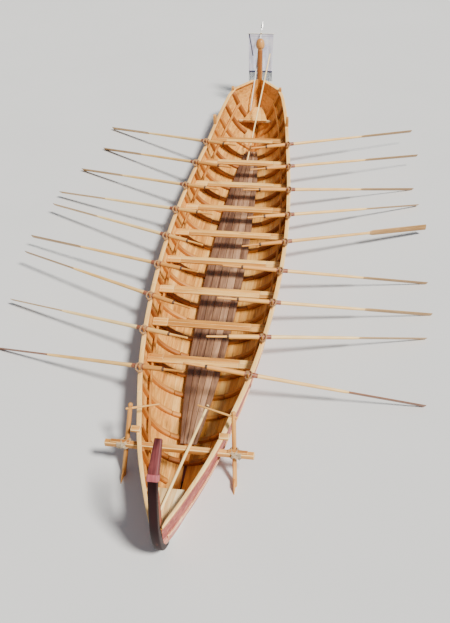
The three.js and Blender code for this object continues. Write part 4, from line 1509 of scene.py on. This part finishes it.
@dataclass
class Flooring:
    """Thwarts, floorboards and the two small decks."""

    thwart_wide: float = 0.2
    ahead: float = 0.6
    boards: int = 2
    split: float = 0.005
    end_long: float = 0.3
    board_edge: Edge = Edge(0.006, 3, 35.0, 1)
    floor: Platform = Platform(
        "floor_oak",
        ((-4.95, 0.15), (-4.2, 0.24), (-3.0, 0.34), (0.0, 0.43), (3.0, 0.34), (4.2, 0.25), (4.95, 0.16)),
        -0.1647, 0.024, 5, 0.01, Edge(0.004, 2, 40.0, 0),
    )
    stern: Platform = Platform(
        "deck_pine", ((-6.39, 0.262), (-6.8, 0.165), (-7.06, 0.084)), 0.598, 0.026, 4, 0.003, beam=(-6.46, -6.4)
    )
    bow: Platform = Platform(
        "thwart_pine", ((5.88, 0.33), (6.3, 0.225), (6.64, 0.1)), 0.272, 0.028, 4, 0.004, beam=(5.9, 5.96)
    )
    nail_head: Pair = (0.008, 0.0025)
    # places along the boat where the floorboards have no nails
    unnailed: Pair = (-3.0, 3.0)
    # how far the nails of a thwart are from its ends and from its middle
    thwart_nails: Pair = (0.07, 0.055)

    def thwart(self, number: int, lock_y: float) -> None:
        """One thwart of two boards between the sides, on the risers.

        Args:
            number: Its number from the bow.
            lock_y: Place of the oars that it serves.
        """
        low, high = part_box(f"thwart_{number}")
        pieces = []
        wide = (self.thwart_wide - self.split * (self.boards - 1)) / self.boards
        for k in range(self.boards):
            y = lock_y + self.ahead - self.thwart_wide / 2 + k * (wide + self.split)
            half = min(HULL.breadth(y + edge, low.z, HULL.plank + 0.002) for edge in (0.0, wide))
            joint = half - self.end_long
            for a, b in ((-half, -joint), (-joint + self.split, joint - self.split), (joint, half)):
                drop = CHANCE.uniform(0.0, 0.0025)
                board = Bench.block("board", (a, y, low.z), (b, y + wide, high.z - drop))
                Bench.dress(board, "thwart_pine worn_edge", self.board_edge, CHANCE.uniform(-1.6, 1.4))
                pieces.append(board)
        Bench.mount(Bench.join(f"bench_{number}", pieces), "pine", f"thwart_{number}")

    def build(self, rows: Sequence["OarRow"]) -> None:
        """Builds and dresses the thwarts, the floorboards with their nails, and the decks.

        Args:
            rows: The places of the oars.
        """
        for number, row in enumerate(rows, 1):
            self.thwart(number, row.y)
        Bench.mount(self.floor.planks("floor_planks"), "floor_wood", "floorboards")
        for end, deck in (("stern", self.stern), ("bow", self.bow)):
            pieces = [deck.planks(f"{end}_deck_planks")]
            (aft, fore), low = deck.beam, deck.low - deck.beam_deep
            half = HULL.breadth((aft + fore) / 2, low, HULL.plank + 0.002)
            beam = Bench.block("beam", (-half, aft, low), (half, fore, deck.low + 0.001))
            pieces.append(Bench.dress(beam, "deck_pine", Edge(0.006), -0.5))
            Bench.mount(Bench.join(f"{end}_platform", pieces), "pine", f"{end}_deck")
        places = []
        top = self.floor.low + self.floor.deep - 0.0005
        for y, half in self.floor.rows:
            if y not in self.unnailed:
                for k in range(self.floor.count):
                    wide = 2 * half / self.floor.count
                    for share in (0.25, 0.75):
                        places.append((-half + (k + share) * wide, y, top))
        from_end, from_middle = self.thwart_nails
        for number, row in enumerate(rows, 1):
            low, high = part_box(f"thwart_{number}")
            middle = row.y + self.ahead
            for x in (low.x + from_end, high.x - from_end):
                places += [(x, y, high.z - 0.001) for y in (middle - from_middle, middle + from_middle)]
        places = [Matrix.Translation(place) for place in places]
        Bench.nails("board_nails", self.nail_head, places, "iron", "floor_wood")


@dataclass
class Steering:
    """Rudder beam across the quarters, the two quarter rudders, their tillers, lashings and chocks."""

    beam_y: float = -5.58
    beam_wide: float = 0.09
    beam_low: float = 0.5
    beam_high: float = 0.605
    beam_half: float = 1.257
    beam_edge: Edge = Edge(0.01, 3, 35.0, 1)
    pad_ends: Pair = (0.82, 1.15)
    # how far a pad is from the beam's aft and forward faces, and how high it stands
    pad_aft: float = 0.015
    pad_fore: float = 0.01
    pad_high: float = 0.028
    pad_edge: Edge = Edge(0.007, 2, 35.0, 1)
    stock_top: Point = (0.866, -5.1, 1.054)
    stock_foot: Point = (1.003, -6.23, -0.64)
    # distance along a stock, its radius
    stock_rows: Pairs = (
        (0.0, 0.02), (0.006, 0.027), (0.018, 0.038), (0.026, 0.04), (0.045, 0.04), (0.052, 0.038), (0.06, 0.033),
        (0.075, 0.032), (0.13, 0.034), (0.15, 0.038), (0.5, 0.038), (0.8, 0.03762), (1.25, 0.038),
    )
    stock_end: Pair = (0.02, 0.024)
    # share of the stock, aft and fore of it, half-thickness
    blade: Rows = (
        (0.56, 0.042, 0.042, 0.022), (0.6, 0.12, 0.088, 0.016), (0.8, 0.165, 0.12, 0.013), (0.97, 0.175, 0.125, 0.01),
        (1.0, 0.16, 0.112, 0.008),
    )
    blade_edge: Edge = Edge(0.003, 2, 50.0)
    # rise of the blade's chord for each metre aft
    blade_rise: float = 0.6
    tiller_on_stock: float = 0.095
    tiller_out: float = 0.075
    tiller_drop: float = 0.012
    # inboard reach and how far forward, by side
    tiller_reach: dict[Side, Pair] = field(
        default_factory=lambda: {Side.PORT: (0.48, 0.15), Side.STARBOARD: (0.64, 0.2)}
    )
    tiller_heel: Pairs = ((0.0, 0.012), (0.004, 0.018), (0.012, 0.021), (0.15, 0.021), (0.2, 0.0195))
    # distance from the grip's end, radius
    tiller_grip: Pairs = ((0.09, 0.0155), (0.03, 0.0175), (0.008, 0.015), (0.001, 0.006))
    # share of the chock's half-length, share of its height
    chock_outline: Pairs = (
        (-1, 0), (1, 0), (1, 0.8), (0.6, 1.0), (0.0, 0.94), (-0.6, 1.0), (-1, 0.8),
    )
    chock_edge: Edge = Edge(0.008, 2, 40.0, 1)
    rope: float = 0.0085
    tail_rope: float = 0.0065
    # crossed turns: half-axes away from the beam and along it, pitch, and share of the way to the stock
    crossed: Row = (0.1225, 0.088, 0.0155, 0.385)
    # turns round the beam: half-axes upward and fore and aft, pitch, and how far outboard of the stock
    straight: Row = (0.066, 0.058, 0.0165, 0.088)

    def line(self, side: Side) -> tuple[Vector, Vector]:
        """Top and foot of a stock."""
        return tuple(Vector((side.value * x, y, z)) for x, y, z in (self.stock_top, self.stock_foot))

    def beam(self) -> None:
        """Builds the beam with the worn pads near its ends."""
        y0, y1, half = self.beam_y - self.beam_wide / 2, self.beam_y + self.beam_wide / 2, self.beam_half
        core = Bench.block("core", (-half, y0, self.beam_low), (half, y1, self.beam_high))
        pieces = [Bench.dress(core, "beam_pine worn_edge", self.beam_edge, 0.3)]
        low, high = self.beam_high - 0.001, self.beam_high + self.pad_high
        for side in Side:
            a, b = sorted(side.value * x for x in self.pad_ends)
            pad = Bench.block("pad", (a, y0 + self.pad_aft, low), (b, y1 - self.pad_fore, high))
            pieces.append(Bench.dress(pad, "beam_pine worn_edge", self.pad_edge, CHANCE.uniform(-1.5, -0.5)))
        Bench.mount(Bench.join("rudder_crossbeam", pieces), "pine", "rudder_beam")

    def turn(self, centre: Vector, tall: Vector, wide: Vector) -> Piece:
        """One turn of rope, drawn round square timber.

        Args:
            centre: Its middle.
            tall: Its first half-axis.
            wide: Its second half-axis.

        Returns:
            The closed turn.
        """
        path = []
        for t in turns(24):
            u, v = (copysign(abs(f(t)) ** 0.6, f(t)) for f in (sin, cos))
            path.append(centre + tall * u + wide * v)
        return Bench.rope("turn", path, self.rope)

    def lashing(self, side: Side) -> Piece:
        """Turns of rope that hold the stock against the beam, with three loose tails.

        Args:
            side: Side of the boat.

        Returns:
            The lashing.
        """
        top, foot = self.line(side)
        stock = top.lerp(foot, (top.y - self.beam_y) / (top.y - foot.y))
        middle = Vector((stock.x, self.beam_y, (self.beam_low + self.beam_high) / 2))
        lie = (foot - top).normalized()
        apart = stock - middle - lie * (stock - middle).dot(lie)
        away = apart.normalized()
        level = Vector((1, 0, 0))
        pieces = []
        tall, wide, pitch, share = self.crossed
        for slant in (-1, 1):
            across = (level + lie * slant).normalized()
            for k in range(3):
                centre = middle + away * (apart.length * share) + across.cross(away) * (pitch * (k - 1))
                pieces.append(self.turn(centre, away * tall, across * wide))
        tall, wide, pitch, out = self.straight
        for k in range(4):
            centre = middle + level * (side.value * out + pitch * (k - 1.5))
            pieces.append(self.turn(centre, Vector((0, 0, tall)), Vector((0, wide, 0))))
        for k in range(3):
            x = stock.x + side.value * (0.02 + 0.03 * k)
            start = Vector((x, self.beam_y + 0.05 - 0.01 * k, self.beam_low + 0.01))
            hang = [start]
            for i in range(1, 9):
                hang.append(start + Vector((0.012 * sin(i * 0.9 + 2 * k), 0.006 * i, -0.028 * i)))
            pieces.append(Bench.rope("tail", hang, self.tail_rope, closed=False))
        return Bench.join("lashing_" + side.label, pieces)

    def stock(self, side: Side) -> None:
        """Builds one rudder: stock with its head, and blade.

        Args:
            side: Side of the boat.
        """
        top, foot = self.line(side)
        from_end, tip = self.stock_end
        stock = Bench.lathe("stock", [*self.stock_rows, ((foot - top).length - from_end, tip)], 20)
        Bench.dress(Bench.aim(stock, top, foot), "stock_pine", None, 0.2 * side.value)
        rings = []
        for share, aft, fore, thick in self.blade:
            c, rise = top.lerp(foot, share), self.blade_rise
            behind, ahead = c + Vector((0, -aft, aft * rise)), c + Vector((0, fore, -fore * rise))
            corners = ((behind, -0.5), (behind, 0.5), (c, 1.0), (ahead, 0.5), (ahead, -0.5), (c, -1.0))
            rings.append([at + Vector((thick * across, 0, 0)) for at, across in corners])
        blade = Bench.dress(Bench.tube("blade", rings), "stock_pine", self.blade_edge, -0.3)
        rudder = Bench.join("quarter_rudder_" + side.label, [stock, blade])
        Bench.mount(rudder, "pine", "rudder_" + side.label, body=side.label + "_rudder", smooth=40.0)

    def tiller(self, side: Side) -> None:
        """Builds one tiller, with a round grip end.

        Args:
            side: Side of the boat.
        """
        top, foot = self.line(side)
        inboard, forward = self.tiller_reach[side]
        hub = top + (foot - top).normalized() * self.tiller_on_stock
        inner = Vector((hub.x - side.value * inboard, hub.y + forward, hub.z - self.tiller_drop))
        outer = hub - (inner - hub).normalized() * self.tiller_out
        long = (inner - outer).length
        rows = [*self.tiller_heel, (long * 0.6, 0.0165), *((long - back, r) for back, r in self.tiller_grip)]
        tiller = Bench.aim(Bench.lathe("tiller_bar_" + side.label, rows), outer, inner)
        Bench.dress(tiller, "stock_pine", None, 0.7)
        Bench.mount(tiller, "pine", "tiller_" + side.label, body=side.label + "_rudder", smooth=40.0)

    def chock(self, side: Side) -> None:
        """Builds the block on the gunwale beside a stock, hollowed on top.

        Args:
            side: Side of the boat.
        """
        low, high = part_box("rudder_chock_" + side.label)
        middle, size = (low + high) / 2, high - low
        outline = [(middle.y + u * size.y / 2, low.z + v * size.z) for u, v in self.chock_outline]
        rings = [[Vector((x, y, z)) for y, z in outline] for x in (low.x, middle.x, high.x)]
        chock = Bench.tube("gunwale_block_" + side.label, rings)
        Bench.dress(chock, "beam_pine worn_edge", self.chock_edge, 0.9)
        Bench.mount(chock, "pine", "rudder_chock_" + side.label)

    def build(self) -> None:
        """Builds and dresses the steering gear."""
        self.beam()
        for side in Side:
            self.stock(side)
            self.tiller(side)
            self.chock(side)
            Bench.mount(Bench.dress(self.lashing(side), "pale_rope"), "pine", smooth=None)


@dataclass(frozen=True)
class OarRow:
    """Place of one pair of oars, and how each lies."""

    y: float
    # sweep to the bow and dip in degrees, length outboard, and how far the blade's aft edge is turned up
    port: Row
    starboard: Row

    def pose(self, side: Side) -> Row:
        """Sweep, dip, outboard length and turn of the blade on a side."""
        return self.port if side is Side.PORT else self.starboard


@dataclass
class Oars:
    """Eighteen oars, made once and copied, each with its wrap, collar and grommet."""

    long: float = 4.43
    blade: float = 1.4
    outboard: float = 3.4
    lock_high: float = 0.085
    grip_zone: Pair = (-0.3, 0.34)
    rows: tuple[OarRow, ...] = (
        OarRow(4.0, (28.3, 10.8, 3.4, 58.0), (22.9, 4.1, 3.4, 58.0)),
        OarRow(3.0, (28.1, 11.4, 3.254, 58.0), (22.0, 5.4, 3.4, 58.0)),
        OarRow(2.0, (24.9, 10.5, 3.4, 58.0), (22.4, 11.3, 3.249, 58.0)),
        OarRow(1.0, (19.6, 8.2, 3.4, 54.0), (26.9, 10.4, 3.4, 50.0)),
        OarRow(0.0, (24.9, 6.2, 3.4, 60.0), (24.5, 7.5, 3.4, 105.0)),
        OarRow(-1.0, (19.3, 6.1, 3.4, 66.0), (12.1, 11.9, 3.173, 63.0)),
        OarRow(-2.0, (23.8, 4.0, 3.4, 63.0), (12.1, 11.8, 3.269, 70.0)),
        OarRow(-3.0, (19.8, 9.6, 3.4, 57.0), (17.4, 12.1, 3.299, 60.0)),
        OarRow(-4.0, (14.7, 12.4, 3.48, 62.0), (4.0, 12.8, 3.2, 65.0)),
    )
    # rows whose blades are stained darker
    stained: tuple[int, ...] = (9,)
    # distance from the inboard end, radius: round grip, then the swell of the loom
    grip: Pairs = (
        (0.0, 0.01), (0.004, 0.016), (0.014, 0.0205), (0.05, 0.0195), (0.2, 0.0205), (0.372, 0.022), (0.384, 0.026),
        (0.4, 0.036), (0.415, 0.041), (0.425, 0.0415), (0.44, 0.0435), (0.46, 0.045),
    )
    collar: Pair = (0.378, 0.43)
    # distance from the lock, radius
    shank: Pairs = (
        (-0.3, 0.045), (-0.06, 0.0445), (0.05, 0.0415), (0.15, 0.039), (0.7, 0.0355), (1.4, 0.0315),
    )
    # distance from the shoulder, half-width, half-thickness
    shoulder: Points = (
        (-0.16, 0.0288, 0.0288), (-0.08, 0.0285, 0.026), (-0.03, 0.038, 0.0215), (0.0, 0.05, 0.0172),
        (0.03, 0.0565, 0.0145), (0.07, 0.062, 0.0125), (0.5, 0.064, 0.011),
    )
    # distance from the blade's end, half-width, half-thickness
    tip: Points = (
        (0.12, 0.0655, 0.0095), (0.02, 0.0655, 0.009), (0.006, 0.061, 0.0078), (0.0005, 0.05, 0.005),
    )
    loom_to: float = -0.04
    wrap_run: Point = (-0.135, 0.105, 0.012)
    wrap_radius: float = 0.0448
    wrap_thick: float = 0.0035
    # the loom tapers outboard of this place, by this much a metre
    taper_from: float = -0.06
    taper: float = 0.0286
    ring_rope: float = 0.012
    # middle and half-length of a ring fore and aft, how high it lies, and where along the oar
    ring_middle: float = -0.031
    ring_half: float = 0.092
    ring_lifts: Pair = (-0.011, 0.011)
    ring_reaches: Pair = (0.066, 0.069)
    ring_raised: float = 0.005
    ring_at: float = -0.058
    ring_tilt: Pair = (0.72, 0.69)
    seizing_rope: float = 0.009
    seizing_radius: float = 0.0565
    seizing_from: float = -0.102
    seizing_pitch: float = 0.019

    def shaft(self) -> Piece:
        """The oar itself along +Z, its lock at the origin, the blade's width along X.

        Returns:
            The oar: slot 0 pale shaft, slot 1 loom, slot 2 dark collar, slot 3 blade.
        """
        near, end = self.outboard - self.long, self.outboard
        neck = end - self.blade
        rows = [(near + at, radius) for at, radius in self.grip] + [*self.shank]
        rows += [(neck + at, wide, thick) for at, wide, thick in self.shoulder]
        rows += [(end - at, wide, thick) for at, wide, thick in self.tip]
        piece = Bench.lathe("shaft", rows, 20)
        low, high = (near + at for at in self.collar)
        for polygon in piece.data.polygons:
            z = polygon.center.z
            part = 1 if z < self.loom_to else 3 if z > neck - 0.04 else 0
            polygon.material_index = 2 if low < z < high else part
        return piece

    def grommet(self, side: Side) -> Piece:
        """Rope ring round the loom and the thole, in the oar's own place.

        Args:
            side: Side of the boat, which says on which side of the loom the thole stands.

        Returns:
            The ring of two ropes, with three seizing turns round the loom.
        """
        pieces = []
        tilt = Vector((0.0, self.ring_tilt[0] * side.value, self.ring_tilt[1]))
        for lift, reach in zip(self.ring_lifts, self.ring_reaches):
            up = lift + self.ring_raised * side.value
            path = []
            for t in turns(30):
                across = self.ring_middle + self.ring_half * cos(t)
                path.append(Vector((across, up, self.ring_at)) - tilt * (reach * sin(t)))
            pieces.append(Bench.rope("ring", path, self.ring_rope))
        r = self.seizing_radius
        for k in range(3):
            at = self.seizing_from + self.seizing_pitch * k
            path = [Vector((r * cos(t), r * sin(t), at + 0.002 * sin(3 * t))) for t in turns(24)]
            pieces.append(Bench.rope("seizing", path, self.seizing_rope))
        return Bench.join("grommet", pieces)

    def copy(self, template: Piece, name: str, slide: float, matrix: Matrix) -> Piece:
        """Copy of a template, slid through the lock and put in place.

        Args:
            template: What is copied.
            name: Name of the copy.
            slide: How much shorter it is outboard than the template.
            matrix: Where it lies.

        Returns:
            The copy, with its own mesh.
        """
        piece = template.copy()
        piece.data = template.data.copy()
        piece.name = piece.data.name = name
        link(piece)
        low, high = self.grip_zone
        for vertex in piece.data.vertices:
            if slide and not low < vertex.co.z < high:
                vertex.co.z -= slide
        piece.data.transform(matrix)
        return piece

    def build(self) -> None:
        """Builds and dresses the eighteen oars."""
        shaft = Bench.dress(self.shaft(), "oar_ash loom_ash iron blade_ash")
        Bench.smooth(shaft, 35.0)
        rows = []
        for a in shares(*self.wrap_run):
            loom = self.wrap_radius - max(a - self.taper_from, 0.0) * self.taper
            rows.append((a, loom + self.wrap_thick + 0.0012 * sin(a * 260)))
        (first, start), (last, end) = rows[0], rows[-1]
        rows = [(first - 0.001, start - 0.003), *rows, (last + 0.001, end - 0.004)]
        wrap = Bench.dress(Bench.lathe("wrap", rows, 24), "leather")
        Bench.smooth(wrap, 50.0)
        for side in Side:
            ring = Bench.dress(self.grommet(side), "brown_rope")
            for number, row in enumerate(self.rows, 1):
                label = f"{side.label}_{number}"
                body = f"{side.label}_oar_{number}"
                sweep, dip, outboard, turn = row.pose(side)
                swing, fall = radians(sweep), radians(dip)
                along = Vector((side.value * cos(swing) * cos(fall), sin(swing) * cos(fall), -sin(fall)))
                across = Vector((-side.value * sin(swing), cos(swing), 0))
                half, top, _ = HULL.sheer(row.y)
                at = Vector((side.value * half, row.y, top + self.lock_high))
                matrix = axes(across, along.cross(across), along, at)
                rolled = matrix @ Matrix.Rotation(-side.value * radians(turn), 4, "Z")
                oar = self.copy(shaft, "pulling_oar_" + label, self.outboard - outboard, rolled)
                if number in self.stained:
                    oar.data.materials[3] = finish("blade_stained")
                Bench.tone(oar, CHANCE.uniform(-1.0, 1.0))
                Bench.mount(oar, "oar_wood", "oar_" + label, body=body, smooth=None)
                for name, template in (("oar_wrap_", wrap), ("oar_grommet_", ring)):
                    Bench.mount(self.copy(template, name + label, 0.0, matrix), "oar_wood", body=body, smooth=None)
            bpy.data.objects.remove(ring)
        bpy.data.objects.remove(shaft)
        bpy.data.objects.remove(wrap)


@dataclass
class Standard:
    """Leaning pole with a spear head, a crossbar, and a square of cloth with a fringe."""

    foot: Point = (-0.186, 6.346, 0.318)
    bar: Point = (-0.03, 7.8, 1.932)
    tip: Point = (0.0, 8.06, 2.22)
    # distance from the foot, radius
    pole_rows: Pairs = ((0.0, 0.0119), (0.006, 0.017), (0.5, 0.017), (1.4, 0.01615))
    # distance past the crossbar, radius
    pole_end: Pairs = ((0.08, 0.01462), (0.092, 0.0102))
    # distance past the crossbar, half-width, half-thickness
    spear_rows: Points = (
        (0.07, 0.017, 0.017), (0.078, 0.021, 0.021), (0.09, 0.018, 0.018), (0.105, 0.0145, 0.0145),
        (0.13, 0.012, 0.012), (0.155, 0.018, 0.01), (0.19, 0.027, 0.0085), (0.23, 0.025, 0.0075), (0.3, 0.014, 0.006),
    )
    # distance from the tip, half-width, half-thickness
    spear_end: Points = ((0.012, 0.004, 0.003), (0.001, 0.001, 0.001))
    # distance from an end of the crossbar, radius
    spar_rows: Pairs = (
        (0.0, 0.008), (0.004, 0.0115), (0.014, 0.0118), (0.02, 0.009), (0.028, 0.0112), (0.1, 0.0118),
    )
    lashing_rope: float = 0.0055
    lashing_pitch: float = 0.012
    # how far the lashing's middle is to port and aft, and its half-axes in X, Y and Z
    lashing_shift: Pair = (0.018, 0.016)
    lashing_half: Point = (0.006, 0.036, 0.024)
    cloth: Pair = CLOTH_SIZE
    cloth_faces: tuple[int, int] = (72, 96)
    cloth_thick: float = 0.0022
    cloth_forward: float = 0.037
    drop: float = 0.013
    sag: float = 0.004
    # depth of the folds, how far the foot draws in and to port, and how far the port edge curls
    fold: float = 0.013
    gather: float = 0.045
    shift: float = 0.022
    curl: float = 0.05
    fringe_long: float = 0.29
    strand: float = 0.0022
    strands: int = 110

    def pole(self) -> None:
        """Builds the painted pole, and the polished spear head with its socket."""
        along, long = ((Vector(end) - Vector(self.foot)).length for end in (self.bar, self.tip))
        rows = [*self.pole_rows, *((along + past, radius) for past, radius in self.pole_end)]
        pole = Bench.aim(Bench.lathe("painted_pole", rows), self.foot, self.bar)
        Bench.mount(Bench.dress(pole, "white_pole", None, 0.4), "pine", "standard_pole", smooth=40.0)
        rows = [(along + past, wide, thick) for past, wide, thick in self.spear_rows]
        rows += [(long - back, wide, thick) for back, wide, thick in self.spear_end]
        spear = Bench.aim(Bench.lathe("spear_head", rows), self.foot, self.bar)
        Bench.mount(Bench.dress(spear, "silver"), "pine", "standard_pole", smooth=30.0)

    def crossbar(self) -> None:
        """Builds the crossbar with turned ends and its lashing to the pole."""
        low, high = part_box("standard_crossbar")
        middle = (low + high) / 2
        rows = [*self.spar_rows, *((high.x - low.x - at, radius) for at, radius in reversed(self.spar_rows))]
        start, end = ((x, middle.y, middle.z) for x in (low.x, high.x))
        bar = Bench.dress(Bench.aim(Bench.lathe("cross_spar", rows, 14), start, end), "white_pole")
        Bench.mount(bar, "pine", "standard_crossbar", smooth=40.0)
        (port, aft), (a, b, c) = self.lashing_shift, self.lashing_half
        pieces = []
        for k in range(4):
            centre = Vector((self.bar[0] - port + self.lashing_pitch * k, middle.y - aft, middle.z))
            path = [centre + Vector((a * sin(t), b * cos(t), c * sin(t))) for t in turns(18)]
            pieces.append(Bench.rope("turn", path, self.lashing_rope))
        Bench.mount(Bench.dress(Bench.join("crossbar_lashing", pieces), "pale_rope"), "pine", smooth=None)

    def hang(self, u: float, v: float) -> Vector:
        """Point of the hanging cloth.

        Args:
            u: Share of its width from port.
            v: Share of its height from the foot.

        Returns:
            The point.
        """
        wide, tall = self.cloth
        low = 1 - v
        wave = sin(2 * pi * (2.6 * u + 0.35 * low))
        wave += 0.35 * sin(2 * pi * (5.3 * u - 0.6 * low) + 1.0)
        curl = self.curl * low * exp(-(((u - 0.04) / 0.09) ** 2))
        narrow = 1 - self.gather * low**0.7
        x = self.bar[0] + (u - 0.5) * wide * narrow - self.shift * low
        y = self.bar[1] + self.cloth_forward + self.fold * low**0.7 * wave * 0.75 - curl * 0.35
        z = self.bar[2] - self.drop - low * tall * 0.9985 - self.sag * sin(pi * u) * (1 - low)
        return Vector((x, y, z))

    def build(self) -> None:
        """Builds and dresses the standard."""
        self.pole()
        self.crossbar()
        (wide, tall), (along, across) = self.cloth, self.cloth_faces
        cloth = Bench.sheet("hung_cloth", along, across, self.hang)
        row = along + 1
        flat = [((i % row) / along * wide, (i // row) / across * tall) for i in range(len(cloth.data.vertices))]
        layer = cloth.data.uv_layers.new(name="cut")
        for loop in cloth.data.loops:
            layer.data[loop.index].uv = flat[loop.vertex_index]
        Bench.modify(cloth, "SOLIDIFY", thickness=self.cloth_thick, offset=0.0)
        Bench.mount(Bench.dress(cloth, "linen"), "cloth", "standard_cloth", smooth=60.0)
        pieces = []
        for k in range(self.strands):
            start = self.hang((k + 0.5) / self.strands, 0.0) + Vector((0, 0, 0.004))
            long = self.fringe_long * (1 - 0.1 * CHANCE.random())
            lean = CHANCE.uniform(-0.008, 0.008)
            path = []
            for t in (i / 5 for i in range(6)):
                x = lean * t + 0.003 * sin(7 * t + k)
                path.append(start + Vector((x, 0.004 * sin(5 * t + 2 * k), -long * t)))
            pieces.append(Bench.rope("strand", path, self.strand, closed=False, sides=4))
        fringe = Bench.mount(Bench.dress(Bench.join("cloth_fringe", pieces), "fringe"), "cloth", smooth=None)


@dataclass
class Boathooks:
    """Two long poles with iron bands, one leaning in the bow and one on the stern deck."""

    # node, start, end, length, radius
    poles: tuple[tuple[str, Point, Point, float, float], ...] = (
        ("boathook_bow", (-0.055, 4.228, -0.121), (0.24, 7.7, 1.412), 3.8, 0.02),
        ("boathook_stern", (0.345, -4.65, 0.61), (-0.045, -6.822, 0.66), 2.207, 0.025),
    )
    # place along the pole, share of its radius
    butt: Pairs = ((0.0, 0.5), (0.006, 0.9), (0.02, 1.0))
    # distance from the point, share of the radius
    point: Pairs = ((0.1, 0.88), (0.004, 0.8), (0.001, 0.5))
    # place along the pole, share of its radius
    band: Pairs = ((0.03, 0.95), (0.031, 1.075), (0.07, 1.075), (0.071, 0.95))

    def build(self) -> None:
        """Builds and dresses both."""
        for node, start, end, long, radius in self.poles:
            rows = [*self.butt, (long * 0.5, 0.97), *((long - back, share) for back, share in self.point)]
            shaft = Bench.lathe(node + "_shaft", [(at, radius * share) for at, share in rows])
            Bench.dress(Bench.aim(shaft, start, end), "hook_pine", None, 0.8)
            Bench.mount(shaft, "oar_wood", node, smooth=40.0)
            band = Bench.lathe(node + "_band", [(at, radius * share) for at, share in self.band], 20)
            Bench.mount(Bench.dress(Bench.aim(band, start, end), "iron"), "oar_wood", smooth=30.0)


@dataclass
class Stage:
    """Pale floor at the waterline, open where the hull goes through it, with the lights and the camera."""

    reach: float = 60.0
    # the opening: how far inside the hull's outer face, and its run along the boat
    inside: float = 0.012
    opening_run: Point = (-7.2, 7.02, 0.12)
    camera_at: Point = (2.16789, -12.82213, 10.58173)
    yaw: float = -9.985
    pitch: float = 42.929
    roll: float = -2.923
    lens: float = 43.136
    sensor: float = 36.0
    sun_from: Point = (1.0, -0.5, 1.55)
    sun_soft: float = 11.0
    sun_energy: float = 6.8
    sun_colour: Colour = (1.0, 0.955, 0.89)
    sky_colour: Colour = (0.86, 0.92, 1.0)
    sky_strength: float = 0.33

    def floor(self) -> None:
        """Builds the floor, open a little inside the hull's waterline."""
        sides = []
        for side in Side:
            places = ((y, level_at(lambda at: HULL.point(y, at).z, 0.0)) for y in shares(*self.opening_run))
            sides.append([HULL.skin(side, y, level, self.inside) for y, level in places])
        opening = [Vector((p.x, p.y, 0)) for p in sides[0] + sides[1][::-1]]
        r = self.reach
        mesh = bmesh.new()
        edges = []
        for ring in ([(-r, -r, 0), (r, -r, 0), (r, r, 0), (-r, r, 0)], opening):
            points = [mesh.verts.new(p) for p in ring]
            edges += [mesh.edges.new((a, b)) for a, b in zip(points, points[1:] + points[:1])]
        bmesh.ops.triangle_fill(mesh, edges=edges, use_beauty=True, normal=UP)
        data = bpy.data.meshes.new("studio_floor")
        mesh.to_mesh(data)
        mesh.free()
        Bench.dress(link(bpy.data.objects.new("studio_floor", data)), "floor")

    def camera(self) -> None:
        """Sets the camera where the photograph was taken from."""
        yaw, pitch, roll = (radians(a) for a in (self.yaw, self.pitch, self.roll))
        ahead = Vector((sin(yaw) * cos(pitch), cos(yaw) * cos(pitch), -sin(pitch)))
        right = Vector((cos(yaw), -sin(yaw), 0))
        up = right.cross(ahead)
        across = right * cos(roll) + up * sin(roll)
        above = -right * sin(roll) + up * cos(roll)
        data = bpy.data.cameras.new("camera")
        data.lens = self.lens
        data.sensor_width = self.sensor
        data.clip_end = 300.0
        camera = link(bpy.data.objects.new("camera", data))
        camera.matrix_world = axes(across, above, -ahead, Vector(self.camera_at))
        bpy.context.scene.camera = camera

    def build(self) -> None:
        """Builds the stage, with a sun and a pale sky."""
        self.camera()
        self.floor()
        sun = bpy.data.lights.new("sun", "SUN")
        sun.energy = self.sun_energy
        sun.angle = radians(self.sun_soft)
        sun.color = self.sun_colour
        lamp = link(bpy.data.objects.new("sun", sun))
        lamp.rotation_euler = Vector(self.sun_from).to_track_quat("Z", "Y").to_euler()
        world = bpy.data.worlds.new("sky")
        world.use_nodes = True
        ground = world.node_tree.nodes["Background"]
        ground.inputs["Color"].default_value = (*self.sky_colour, 1.0)
        ground.inputs["Strength"].default_value = self.sky_strength
        bpy.context.scene.world = world


def main() -> None:
    """Builds the boat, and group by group."""
    logging.basicConfig(level=logging.INFO, format="%(message)s")
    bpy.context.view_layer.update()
    Stage().build()
    oars = Oars()
    Planking().build()
    Frames().build()
    Gunwales().build(oars.rows)
    Backbone().build()
    Flooring().build(oars.rows)
    Steering().build()
    oars.build()
    Standard().build()
    Boathooks().build()


if __name__ == "__main__":
    main()
